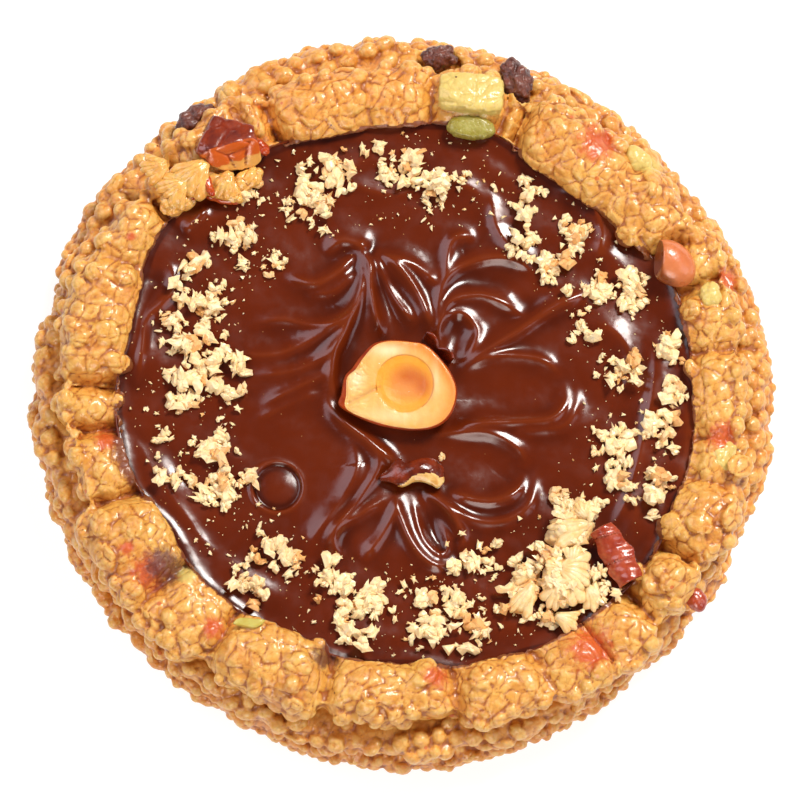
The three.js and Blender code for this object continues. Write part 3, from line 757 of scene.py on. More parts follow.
@dataclass(frozen=True)
class TwoSided(Finish):
    """A surface with dark seams that turns to a second colour on one side, past a ragged border.

    Attributes:
        second: Colour of that side.
        flesh: Colour of that side's foot.
        bared: How much of the flesh shows there.
        seam: Colour of the seams.
    """

    second: Colour = (0.6, 0.2, 0.02)
    flesh: Colour = (0.76, 0.38, 0.085)
    bared: float = 0.0
    seam: Colour = (0.30, 0.035, 0.005)

    def colour(self, graph: Graph, place: object) -> Socket:
        """The first colours, and the second one where the mesh says so."""
        first = self.mottled(graph, place, self.tone, self.other, self.patch).outputs["Colour"]
        ragged = graph.noise(place, 1 / (1.2 * MM), 3.0, 0.6).outputs[0]
        wander = graph.math("MULTIPLY", graph.math("SUBTRACT", ragged, 0.5), 0.5)
        edge = graph.math("ADD", self.stored(graph, "side"), wander)
        both = graph.mix(graph.remap(edge, 0.3, 0.7), first, self.second)
        foot = graph.math("ADD", self.stored(graph, "foot"), graph.math("MULTIPLY", wander, 2.0))
        both = graph.mix(graph.remap(foot, 0.4, 0.7, 0.0, self.bared), both, self.flesh)
        return graph.mix(graph.remap(self.stored(graph, "hollow"), 0.01, 0.11, 0.0, 0.8), both, self.seam)


DOUGH = DoughFinish("baked_dough", (0.72, 0.352, 0.060), (0.64, 0.235, 0.028), patch=5.0, grain=1.1,
                    relief=0.04, rough=0.45, coat=0.42, glow=0.15, depth=0.9)
CHOCOLATE = ChocolateFinish("chocolate_spread", (0.125, 0.0155, 0.0025), (0.100, 0.0115, 0.0018), patch=9.0,
                            relief=0.04, rough=0.19, coat=0.0, glow=0.0)
CRUMB = CrumbFinish("chopped_nut", (0.98, 0.80, 0.49), (0.96, 0.69, 0.33), patch=0.8, grain=0.35,
                    relief=0.04, rough=0.45, coat=0.2, glow=0.15, depth=0.5)
KERNEL = KernelFinish("hazelnut_cut_face", (0.76, 0.39, 0.082), (0.80, 0.50, 0.16), patch=3.5, grain=0.5,
                      relief=0.015, rough=0.4, coat=0.15, glow=0.3, depth=1.5)
SKIN = Finish("hazelnut_skin", (0.075, 0.009, 0.003), (0.22, 0.026, 0.005), patch=1.6, grain=0.4, relief=0.03,
              rough=0.22, coat=0.5, glow=0.0)
RIND = Finish("hazelnut_rind", (0.22, 0.020, 0.003), (0.36, 0.050, 0.006), patch=1.2, grain=0.4, relief=0.03,
              rough=0.4, coat=0.0, glow=0.05, shine=0.15)
CURL_CREAM = Finish("curl_kernel", (0.62, 0.30, 0.06), (0.80, 0.54, 0.20), patch=1.0, relief=0.02, rough=0.3,
                    coat=0.3, glow=0.2)
GLAZE = TwoSided("dark_glaze", (0.13, 0.018, 0.012), (0.30, 0.040, 0.010), patch=2.0, grain=1.1, relief=0.05,
                 rough=0.24, coat=0.6, glow=0.1, second=(0.60, 0.105, 0.010), bared=0.95,
                 seam=(0.20, 0.016, 0.004))
CARAMEL = TwoSided("caramel_flesh", (0.84, 0.48, 0.13), (0.72, 0.32, 0.052), patch=1.5, grain=0.9,
                   relief=0.05,
                   rough=0.3, coat=0.5, glow=0.25, second=(0.42, 0.055, 0.008), seam=(0.40, 0.070, 0.008))
ALMOND = TwoSided("toasted_almond", (0.58, 0.150, 0.045), (0.64, 0.20, 0.07), patch=1.8, grain=0.35,
                  relief=0.02,
                  rough=0.3, coat=0.35, glow=0.1, second=(0.26, 0.055, 0.008))
PISTACHIO = Finish("green_pistachio", (0.27, 0.215, 0.022), (0.38, 0.33, 0.075), patch=1.2, grain=0.5,
                   relief=0.05,
                   rough=0.34, coat=0.3, glow=0.15)
DRIP = Finish("orange_glaze", (0.52, 0.085, 0.010), (0.40, 0.035, 0.006), patch=1.0, grain=0.5, relief=0.03,
              rough=0.2, coat=0.5, glow=0.2)
LEAF = Finish("pistachio_leaf", (0.50, 0.39, 0.055), (0.58, 0.50, 0.12), patch=0.9, grain=0.4, relief=0.02,
              rough=0.35, coat=0.3, glow=0.2)
RAISIN = Finish("raisin_skin", (0.070, 0.018, 0.013), (0.20, 0.055, 0.032), patch=1.0, grain=0.5, relief=0.12,
                rough=0.3, coat=0.2, glow=0.0)
CRANBERRY = Finish("cranberry_flesh", (0.30, 0.032, 0.014), (0.46, 0.075, 0.026), patch=1.5, grain=0.6,
                   relief=0.05, rough=0.22, coat=0.6, glow=0.15)
WALNUT = CrumbFinish("walnut_flesh", (0.95, 0.72, 0.38), (0.88, 0.52, 0.18), patch=1.2, grain=0.5,
                     relief=0.03, rough=0.4, coat=0.25, glow=0.2)


# ---------- node-built shapes


def bead_tree() -> Tree:
    """Geometry Nodes that pack rounded beads of dough on a skin.

    Returns:
        The tree. Its inputs are the radius of the fine, middle and broad beads in metres and
        the material. The skin's stored numbers of the same names say where each kind sits.
    """
    if "dough_beads" in bpy.data.node_groups:
        return bpy.data.node_groups["dough_beads"]
    tree = bpy.data.node_groups.new("dough_beads", "GeometryNodeTree")
    tree.interface.new_socket("Geometry", in_out="INPUT", socket_type="NodeSocketGeometry")
    for label in ("Fine", "Middle", "Broad"):
        tree.interface.new_socket(label, in_out="INPUT", socket_type=FLOAT)
    tree.interface.new_socket("Material", in_out="INPUT", socket_type="NodeSocketMaterial")
    tree.interface.new_socket("Geometry", in_out="OUTPUT", socket_type="NodeSocketGeometry")
    graph = Graph(tree)
    start = tree.nodes.new("NodeGroupInput").outputs
    ball = graph.node("GeometryNodeMeshIcoSphere", {"Radius": 1.0, "Subdivisions": 2}).outputs[0]
    parts = [start["Geometry"]]
    for seed, (label, spacing, flat) in enumerate((("Fine", 1.6, 0.85), ("Middle", 1.75, 0.8),
                                                   ("Broad", 2.3, 0.4))):
        stored = graph.node("GeometryNodeInputNamedAttribute", {"Name": label.lower()}, data_type="FLOAT")
        gap = graph.math("MULTIPLY", start[label], spacing)
        spread = graph.node("GeometryNodeDistributePointsOnFaces", {
            "Mesh": start["Geometry"], "Distance Min": gap, "Density Max": 6e6,
            "Density Factor": stored.outputs["Attribute"], "Seed": 17 + seed,
        }, distribute_method="POISSON")
        spin = graph.node("FunctionNodeRandomValue", data_type="FLOAT")
        spin.inputs[3].default_value = 6.283
        by = graph.node("FunctionNodeAxisAngleToRotation", {"Angle": spin.outputs[1]})
        turn = graph.node("FunctionNodeRotateRotation", {0: spread.outputs["Rotation"], 1: by.outputs[0]},
                          rotation_space="LOCAL")
        stretch = graph.node("FunctionNodeRandomValue", data_type="FLOAT_VECTOR")
        stretch.inputs[0].default_value = (0.85, 0.75, 0.8 * flat)
        stretch.inputs[1].default_value = (1.35, 1.1, 1.2 * flat)
        size = graph.vector("SCALE", stretch.outputs[0], scale=start[label])
        beads = graph.node("GeometryNodeInstanceOnPoints", {
            "Points": spread.outputs["Points"], "Instance": ball, "Rotation": turn.outputs[0], "Scale": size,
        })
        parts.append(graph.node("GeometryNodeRealizeInstances", {"Geometry": beads.outputs[0]}).outputs[0])
    joined = graph.node("GeometryNodeJoinGeometry")
    for part in reversed(parts):
        graph.feed(joined.inputs[0], part)
    real = graph.node("GeometryNodeRealizeInstances", {"Geometry": joined.outputs[0]})
    dressed = graph.node("GeometryNodeSetMaterial", {"Geometry": real.outputs[0],
                                                     "Material": start["Material"]})
    graph.feed(tree.nodes.new("NodeGroupOutput").inputs[0], dressed.outputs[0])
    return tree


def scatter_tree() -> Tree:
    """Geometry Nodes that put a scrap of nut on every point.

    Returns:
        The tree. Its inputs are the collection of scraps and the material; each point holds
        its scrap's number, size, turn and tone.
    """
    if "nut_scatter" in bpy.data.node_groups:
        return bpy.data.node_groups["nut_scatter"]
    tree = bpy.data.node_groups.new("nut_scatter", "GeometryNodeTree")
    tree.interface.new_socket("Geometry", in_out="INPUT", socket_type="NodeSocketGeometry")
    tree.interface.new_socket("Scraps", in_out="INPUT", socket_type="NodeSocketCollection")
    tree.interface.new_socket("Material", in_out="INPUT", socket_type="NodeSocketMaterial")
    tree.interface.new_socket("Geometry", in_out="OUTPUT", socket_type="NodeSocketGeometry")
    graph = Graph(tree)
    start = tree.nodes.new("NodeGroupInput").outputs

    def stored(name: str, kind: str) -> Socket:
        """Reads one stored value per point."""
        return graph.node("GeometryNodeInputNamedAttribute", {"Name": name},
                          data_type=kind).outputs["Attribute"]

    scraps = graph.node("GeometryNodeCollectionInfo", {"Collection": start["Scraps"]})
    scraps.inputs["Separate Children"].default_value = True
    scraps.inputs["Reset Children"].default_value = True
    turn = graph.node("FunctionNodeEulerToRotation", {0: stored("turn", "FLOAT_VECTOR")}).outputs[0]
    placed = graph.node("GeometryNodeInstanceOnPoints", {
        "Points": start["Geometry"], "Instance": scraps.outputs[0], "Instance Index": stored("kind", "INT"),
        "Rotation": turn, "Scale": stored("size", "FLOAT_VECTOR"),
    })
    placed.inputs["Pick Instance"].default_value = True
    real = graph.node("GeometryNodeRealizeInstances", {"Geometry": placed.outputs[0]})
    dressed = graph.node("GeometryNodeSetMaterial", {"Geometry": real.outputs[0],
                                                     "Material": start["Material"]})
    graph.feed(tree.nodes.new("NodeGroupOutput").inputs[0], dressed.outputs[0])
    return tree


def made_by_tree(piece: Piece, tree: Tree, values: dict[str, object],
                 voxel: float = 0.0) -> Piece:
    """Runs a tree on a piece and keeps the result as the piece's plain mesh.

    Args:
        piece: The piece that the tree starts from.
        tree: The tree to run.
        values: Value of each of the tree's inputs by name.
        voxel: Size of the cells in which the result is fused to one skin, in metres; 0 for none.

    Returns:
        The same piece with its new mesh and no modifier.
    """
    modifier = piece.modifiers.new("shape", "NODES")
    modifier.node_group = tree
    keys = {item.name: item.identifier for item in tree.interface.items_tree
            if item.item_type == "SOCKET" and item.in_out == "INPUT"}
    for name, value in values.items():
        modifier[keys[name]] = value
    if voxel:
        fused = piece.modifiers.new("fused", "REMESH")
        fused.mode, fused.voxel_size = "VOXEL", voxel
        evened = piece.modifiers.new("evened", "SMOOTH")
        evened.factor, evened.iterations = 0.5, 2
    piece.update_tag()
    graph = bpy.context.evaluated_depsgraph_get()
    made = bpy.data.meshes.new_from_object(piece.evaluated_get(graph), depsgraph=graph)
    piece.modifiers.clear()
    before, piece.data = piece.data, made
    bpy.data.meshes.remove(before)
    made.name = piece.name
    made.materials.clear()
    made.materials.append(values["Material"])
    made.shade_smooth()
    return piece


def settle(piece: Piece, slot: str, *nodes: str, finish: Finish | None = None) -> Piece:
    """Gives a finished piece its material and body, and hides the nodes it stands for.

    Args:
        piece: The piece.
        slot: The record's material slot; not used.
        *nodes: CAD nodes that the piece replaces.
        finish: Its finish, unless the piece has its materials already.

    Returns:
        The piece.
    """
    if finish:
        piece.data.materials.clear()
        piece.data.materials.append(finish.material())
    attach(piece, BODY)
    if nodes:
        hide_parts(*nodes)
    LOG.info("%s: %d faces", piece.name, len(piece.data.polygons))
    return piece


# ---------- the crust


class Stain(Enum):
    """What has coloured a spot of the dough."""

    RED = "red"
    PLUM = "plum"
    GREEN = "green"


@dataclass
class Rim:
    """The chain of lumps that makes the rim, shared by the crust and the chocolate.

    Attributes:
        lumps: Angle where each lump starts, its inner and outer radius, its top's height above
            the ordinary one, and the depth of the cleft at its start as a share of the deepest.
        top: Height of an ordinary lump.
        cleft_drop: How much lower the deepest clefts lie.
        cleft_pinch: How much narrower they are on each side.
        cleft_reach: How far a cleft's furrow spreads along the rim.
        middle: Radius at which that is measured.
    """

    lumps: Rows = (
        (7.8, 34.3, 41.6, -0.6, 0.5), (20.0, 34.9, 42.6, -1.3, 0.7), (28.8, 32.5, 40.8, 0.0, 0.9),
        (44.2, 31.2, 40.5, 0.6, 0.25), (66.2, 33.6, 38.9, -1.4, 1.0), (69.9, 33.2, 40.4, -0.3, 0.5),
        (84.1, 32.1, 39.8, -0.3, 0.5), (96.8, 32.1, 40.2, 0.2, 0.2), (115.2, 34.0, 41.2, -1.0, 0.9),
        (120.4, 33.4, 42.1, -0.5, 0.4), (135.6, 34.1, 39.9, -1.0, 0.8), (141.8, 34.5, 40.6, 0.0, 0.9),
        (154.6, 32.9, 41.6, 0.4, 0.35), (178.3, 33.4, 41.4, -1.2, 1.0), (186.6, 33.2, 39.9, -0.9, 1.0),
        (200.5, 31.6, 42.1, 0.4, 0.9), (219.0, 32.2, 41.3, -0.3, 0.7), (233.6, 31.2, 40.5, 0.5, 0.8),
        (255.9, 32.2, 39.6, 0.0, 0.8), (280.1, 33.4, 41.0, -0.2, 0.6), (296.7, 34.4, 42.6, -0.6, 0.4),
        (307.7, 34.6, 42.9, -0.7, 0.5), (318.3, 35.2, 41.8, -1.0, 0.8), (329.3, 34.7, 42.9, -0.2, 0.8),
        (343.6, 34.8, 42.0, -0.9, 0.3), (351.6, 34.4, 41.4, -0.2, 0.3),
    )
    top: float = 14.0
    cleft_drop: float = 2.2
    cleft_pinch: float = 1.0
    cleft_reach: float = 1.0
    middle: float = 37.0

    def at(self, angle: Array) -> tuple[Array, Array, Array]:
        """The rim's section at each angle.

        Args:
            angle: Angles in radians.

        Returns:
            Inner radius, outer radius and height of the top.
        """
        rows = np.array(self.lumps)
        starts = rows[:, 0] - rows[0, 0]
        turn = (np.degrees(angle) - rows[0, 0]) % 360
        index = np.searchsorted(starts, turn, side="right") - 1
        spans = np.append(starts[1:], 360.0) - starts
        across = (turn - starts[index]) / spans[index]
        neighbour = np.where(across < 0.5, index - 1, index + 1) % len(rows)
        depth = rows[np.where(across < 0.5, index, index + 1) % len(rows), 4]
        swell = np.sqrt(1 - np.abs(2 * across - 1) ** 2.4)

        def blend(column: int, pinch: float) -> Array:
            """Runs from the cleft's value to the lump's own."""
            cleft = (rows[index, column] + rows[neighbour, column]) / 2 + pinch * depth
            return cleft + (rows[index, column] - cleft) * swell

        top = self.top + blend(3, -self.cleft_drop)
        return blend(1, self.cleft_pinch), blend(2, -self.cleft_pinch), top

    def cleft(self, angle: Array) -> Array:
        """How deep in a cleft between two lumps each angle lies, from 0 to 1."""
        rows = np.array(self.lumps)
        away = (np.degrees(angle)[..., None] - rows[:, 0] + 180) % 360 - 180
        return (rows[:, 4] * bell(np.radians(away) * self.middle, self.cleft_reach)).max(axis=-1)

    def pool_radius(self, angle: Array) -> Array:
        """Radius of the wall round the chocolate, which has no clefts."""
        reach = range(-5, 6)
        return sum(self.at(angle + math.radians(1.6 * step))[0] for step in reach) / len(reach) + 0.35


@dataclass
class Crust:
    """The dough: a wall with two uneven tiers, the rim on it and a ball stuck to the rim.

    Attributes:
        rim: The chain of lumps.
        radius: Middle of the uneven outline.
        well: Height of the floor under the chocolate.
        inset: The flat underside ends this far inside the outline.
        proud: How far beads stand out; the skin below them lies this much lower.
        lump_cell: Size of the big knobs.
        lump_relief: Their height.
        chunk_cell: Size of the creased chunks on them.
        chunk_relief: Their height.
        step: Distance between the skin's rings, and turn: degrees between its sections.
        beads: Radius of the fine, middle and broad beads.
        voxel: Size of the cells in which skin and beads are fused.
        stains: Angle, radius, size and kind of each stain.
        bare: Middle and reach of the spots that fruit fills, where the dough steps back.
    """

    rim: Rim
    radius: float = 43.85
    well: float = 7.2
    inset: float = 4.2
    proud: float = 0.5
    lump_cell: float = 5.4
    lump_relief: float = 1.5
    chunk_cell: float = 3.1
    chunk_relief: float = 0.7
    step: float = 0.45
    turn: float = 0.6
    beads: Triple = (0.82, 1.15, 1.7)
    voxel: float = 0.21
    stains: tuple[tuple[float, float, float, Stain], ...] = (
        (52.0, 38.0, 3.0, Stain.RED), (306.0, 38.0, 3.4, Stain.RED), (277.0, 34.5, 1.8, Stain.RED),
        (210.5, 37.5, 1.1, Stain.RED), (352.0, 38.4, 2.2, Stain.RED), (20.0, 41.5, 1.6, Stain.RED),
        (216.0, 36.8, 2.6, Stain.RED), (217.0, 35.0, 3.0, Stain.PLUM), (254.0, 33.0, 1.9, Stain.PLUM),
        (232.0, 36.0, 1.6, Stain.RED),
        (189.0, 35.4, 1.8, Stain.RED), (76.0, 37.0, 3.6, Stain.GREEN), (43.0, 41.0, 1.8, Stain.GREEN),
        (18.0, 38.6, 1.6, Stain.GREEN), (221.0, 33.4, 1.4, Stain.GREEN), (150.0, 37.2, 0.7, Stain.RED),
    )
    bare: Rows = (
        (13.8, 38.2, 10.7, 2.2), (4.6, 41.4, 9.1, 2.0), (-24.8, 33.9, 10.0, 2.8),
    )

    def outline(self, angle: Array) -> Array:
        """Radius of the cookie's foot: squarish, further out at the top, narrower on a diagonal."""
        lobes = 0.45 * np.cos(4 * angle) - 0.3 * np.sin(2 * angle)
        return self.radius + lobes + 0.5 * np.sin(angle)

    def wall_rows(self, angle: Array) -> Array:
        """Control rows of the wall's closed section.

        Args:
            angle: Angles in radians.

        Returns:
            Rows of radius, height, share of the big knobs, and shares of fine, middle and broad
            beads, indexed row, value, angle.
        """
        edge = self.outline(angle)
        outer = self.rim.at(angle)[1]
        wander = 0.7 * np.sin(3 * angle + 1) + 0.4 * np.sin(8 * angle)
        crease = 0.55 + 0.45 * np.sin(5 * angle + 2)
        shelf = np.minimum(edge - 2.2, outer - 0.1) - 0.5
        return self.stacked(angle, [
            (edge - 6.0, 0.0, 0, 0, 0, 0), (edge - self.inset, 0.0, 0, 0, 0, 0),
            (edge - 1.7, 0.5, 0.3, 0.7, 0, 0),
            (edge - 0.5, 1.4, 0.8, 1, 0, 0), (edge, 2.8, 1, 1, 0.15, 0),
            (edge - 0.3, 4.0 + wander / 2, 1, 0.8, 0.4, 0),
            (edge - 1.2 - crease, 5.1 + wander, 0.6, 0.6, 0, 0), (edge - 0.8, 6.2 + wander, 1, 0.2, 0.9, 0.2),
            (edge - 1.0, 7.4 + wander / 2, 1, 0.1, 0.9, 0.4), (edge - 1.6, 8.4, 0.8, 0.1, 0.9, 0.3),
            (shelf + 0.5, 8.7, 0.3, 0, 0.3, 0), (shelf - 1.6, 8.4, 0, 0, 0, 0), (edge - 6.5, 8.0, 0, 0, 0, 0),
            (edge - 6.5, 1.0, 0, 0, 0, 0),
        ])

    def rim_rows(self, angle: Array) -> Array:
        """Control rows of the rim's closed section, with the same values as the wall's."""
        edge = self.outline(angle)
        inner, outer, top = self.rim.at(angle)
        pool = self.rim.pool_radius(angle)
        middle, half = (inner + outer) / 2 + 0.2, (outer - inner) / 2
        shelf = np.minimum(edge - 2.2, outer - 0.1) - 0.8
        return self.stacked(angle, [
            (shelf - 1.6, 8.0, 0, 0, 0, 0), (shelf, 8.9, 0.3, 0, 0.2, 0), (outer, 10.3, 0.8, 0, 0.8, 0.2),
            (outer, 11.6, 0.8, 0, 0.8, 0.3), (outer - 0.8, 12.8, 0.8, 0, 0.5, 0.4),
            (middle + 0.42 * half, top - 0.25, 0.6, 0, 0.12, 0.35), (middle, top, 0.5, 0, 0, 0.25),
            (middle - 0.45 * half, top - 0.2, 0.5, 0, 0, 0.25), (inner + 0.7, top - 1.1, 0.4, 0, 0, 0.25),
            (inner, 12.0, 0.3, 0, 0.1, 0), (pool - 0.1, 11.2, 0.2, 0, 0, 0), (pool + 0.3, 9.6, 0, 0, 0, 0),
            (pool + 1.6, 8.4, 0, 0, 0, 0),
        ])

    @staticmethod
    def stacked(angle: Array, rows: Sequence[tuple]) -> Array:
        """Makes one array of rows whose values may be numbers or vary with the angle."""
        return np.array([np.broadcast_arrays(*row, angle)[:-1] for row in rows])

    def skin(self, rows: Array, angle: Array) -> tuple[Array, Array]:
        """Fills a closed section smoothly and pushes the big knobs out.

        Args:
            rows: Control rows, indexed row, value, angle.
            angle: The angles.

        Returns:
            Points indexed angle, place on the section, axis, and their shares of the beads.
        """
        filled, count = [], len(rows)
        for index in range(count):
            four = [rows[(index + k) % count] for k in (-1, 0, 1, 2)]
            steps = max(1, round(float(np.hypot(*(four[2] - four[1])[:2]).mean()) / self.step))
            filled += [between(*four, part) for part in np.arange(steps) / steps]
        radius, height, *shares = np.moveaxis(np.array(filled), 1, 0)
        share, *kinds = np.clip(shares, 0, 1)
        run, rise = (np.roll(v, -1, 0) - np.roll(v, 1, 0) for v in (radius, height))
        length = np.maximum(np.hypot(run, rise), 1e-9)
        cos, sin = np.cos(angle), np.sin(angle)
        points = np.stack([radius * cos, radius * sin, height], axis=-1).reshape(-1, 3)
        lumps = knobs(points, self.lump_cell, 3).reshape(radius.shape) - 0.6
        chunks = pillows(points, self.chunk_cell, 60).reshape(radius.shape) - 0.7
        cleft = self.rim.cleft(angle) * np.clip((height - 8.5) / 2, 0, 1)
        push = share * (self.lump_relief * lumps + self.chunk_relief * chunks)
        push = push - 1.3 * cleft * (share > 0.3)
        push = push - self.proud * np.clip(np.max(kinds, axis=0), 0.3, 1) * (share > 0.05)
        for *middle, reach in self.bare:
            away = np.linalg.norm(points - middle, axis=-1).reshape(radius.shape)
            bared = np.clip(reach + 1.0 - away, 0, 1)
            push = push - 1.2 * bared * (share > 0.05)
            kinds = [kind * (1 - bared) for kind in kinds]
        kinds = [kind * (1 - 0.8 * cleft) for kind in kinds]
        spot = radius + push * rise / length
        skin = np.stack([spot * cos, spot * sin, height - push * run / length], axis=-1)
        return np.moveaxis(skin, 0, 1)[:, ::-1], np.moveaxis(np.array(kinds), 1, 2)[:, :, ::-1]

    def arc(self, name: str, rows: Callable[[Array], Array], start: float, end: float) -> Piece:
        """Makes one arc of the wall or the rim, beaded all over.

        Args:
            name: The piece's name.
            rows: Gives the section's control rows.
            start: First angle, in degrees.
            end: Last angle, in degrees.

        Returns:
            The arc.
        """
        angle = np.radians(np.arange(start - self.turn, end + self.turn, self.turn))
        rings, kinds = self.skin(rows(angle), angle)
        points, faces = closed_by_poles(rings, rings[0].mean(0), rings[-1].mean(0))
        return self.beaded(name, points, faces, [np.append(kind.ravel(), [0, 0]) for kind in kinds])

    def beaded(self, name: str, points: Array, faces: list[Array], kinds: Sequence[Array]) -> Piece:
        """Packs beads on a skin of dough, fuses them and stores what colours them."""
        piece = new_mesh_object(name, points, faces)
        store(piece, **{label.lower(): kind for label, kind in zip(BEADS, kinds)})
        sizes = {label: radius * MM for label, radius in zip(BEADS, self.beads)}
        made_by_tree(piece, bead_tree(), {**sizes, "Material": DOUGH.material()}, self.voxel * MM)
        self.crackle(piece)
        self.tones(piece)
        return piece

    def crackle(self, piece: Piece) -> None:
        """Presses a fine net of creases into the fused dough."""
        points = layout_points(piece)
        drift = 0.2 * np.sin(points[:, [1, 2, 0]] * 1.7 + 1.0)
        depth = 0.12 + 0.12 * np.clip((points[:, 2] - 10.5) / 1.5, 0, 1)
        net = depth * (pillows(points + drift, 2.1, 70) - 0.8)
        net = net + 0.07 * (pillows(points + drift, 1.15, 75) - 0.8)
        above = np.clip(points[:, 2] - 0.3, 0, 1)
        moved = points + vertex_rows(piece.data, "normal") * (net * above)[:, None]
        moved[:, 2] = np.maximum(moved[:, 2], 0.0)
        piece.data.vertices.foreach_set("co", ((moved + LAYOUT_SHIFT) * MM).ravel())
        piece.data.update()

    def tones(self, piece: Piece) -> None:
        """Stores how deep and how low each point lies and how stained it is."""
        points = layout_points(piece)
        radius = np.hypot(points[:, 0], points[:, 1])
        low = np.clip((11.0 - points[:, 2]) / 7.0, 0, 1) * np.clip((radius - 30) / 6, 0, 1)
        angle = np.arctan2(points[:, 1], points[:, 0])
        north = 0.55 * bell(np.degrees(angle) - 103, 26) * np.clip((radius - 30) / 6, 0, 1)
        past = radius - self.rim.pool_radius(angle)
        drip = 1.6 * bell(np.degrees(angle) % 360 - 194, 7)
        smear = np.clip(1.3 - past / (0.35 + drip), 0, 1) * (points[:, 2] < 12.3 + drip)
        # The hollows lay the dough's painted shade in its creases and its painted highlights on its knobs.
        store(piece, hollow=hollows(piece, 10), wide_hollow=hollows(piece, 50),
              low=np.maximum(low, north), smear=smear)
        masks = {kind.value: np.zeros(len(points)) for kind in Stain}
        for turn, reach, size, kind in self.stains:
            cx, cy = reach * math.cos(math.radians(turn)), reach * math.sin(math.radians(turn))
            distance = np.hypot(points[:, 0] - cx, points[:, 1] - cy)
            masks[kind.value] = np.maximum(masks[kind.value], bell(distance, size))
        store(piece, **masks)

    def ball(self) -> Piece:
        """Makes the ball of dough that sits on the rim."""
        shape = Nugget("dough_ball", "crust", (31.7, -22.7, 11.6), (0, 0, 0), (3.1, 2.9, 2.8), 0.25, 5, DOUGH,
                       detail=5)
        points, faces = shape.shape()
        ones = np.ones(len(points))
        return self.beaded("dough_ball", turned(points, shape.at, shape.turn), [faces],
                           (0 * ones, 0.6 * ones, ones))

    def crusted(self, shape: "Nugget") -> Piece:
        """Makes a piece of pistachio that is crackled like the dough round it, but green."""
        points, faces = shape.shape()
        ones = np.ones(len(points))
        skin = turned(points, shape.at, shape.turn)
        piece = self.beaded(f"{shape.node}_real", skin, [faces], (0 * ones, 0 * ones, 0 * ones))
        green = np.full(len(piece.data.vertices), 1.3, dtype=np.float32)
        piece.data.attributes["green"].data.foreach_set("value", green)
        return settle(piece, shape.slot, shape.node)

    def floor(self) -> Piece:
        """Makes the plain floor of dough under the chocolate, down to the flat underside."""
        angle = np.linspace(0, 2 * math.pi, 240, endpoint=False)
        section = ((12, 0.02), (38, 0.02), (39.5, 1.0), (39.5, 7.6), (36, self.well), (12, self.well))
        unit = (self.outline(angle) - self.inset - 1.0) / 40
        rings = np.array([circle(angle, unit * reach, height) for reach, height in section])
        points, faces = closed_by_poles(rings, (0, 0, 0.02), (0, 0, self.well))
        piece = new_mesh_object("dough_floor", points, faces)
        piece.data.materials.append(DOUGH.material())
        self.tones(piece)
        return piece

    def dress(self) -> list[Piece]:
        """Builds the pieces of dough in place of the plain crust."""
        pieces = [self.floor(), self.ball()]
        for name, rows, cuts in (("rim", self.rim_rows, (66.2, 178.3, 307.7, 426.2)),
                                 ("wall", self.wall_rows, (30, 120, 210, 300, 390))):
            for number, (start, end) in enumerate(zip(cuts, cuts[1:])):
                pieces.append(self.arc(f"dough_{name}_{number}", rows, start, end))
        return [settle(piece, "crust", "crust") for piece in pieces]


# ---------- the chocolate


@dataclass(frozen=True)
class Stroke:
    """A ridge that the spoon left: its line, height, and how far it spreads to each side."""

    path: Rows
    height: float
    left: float = 0.6
    right: float = 0.6


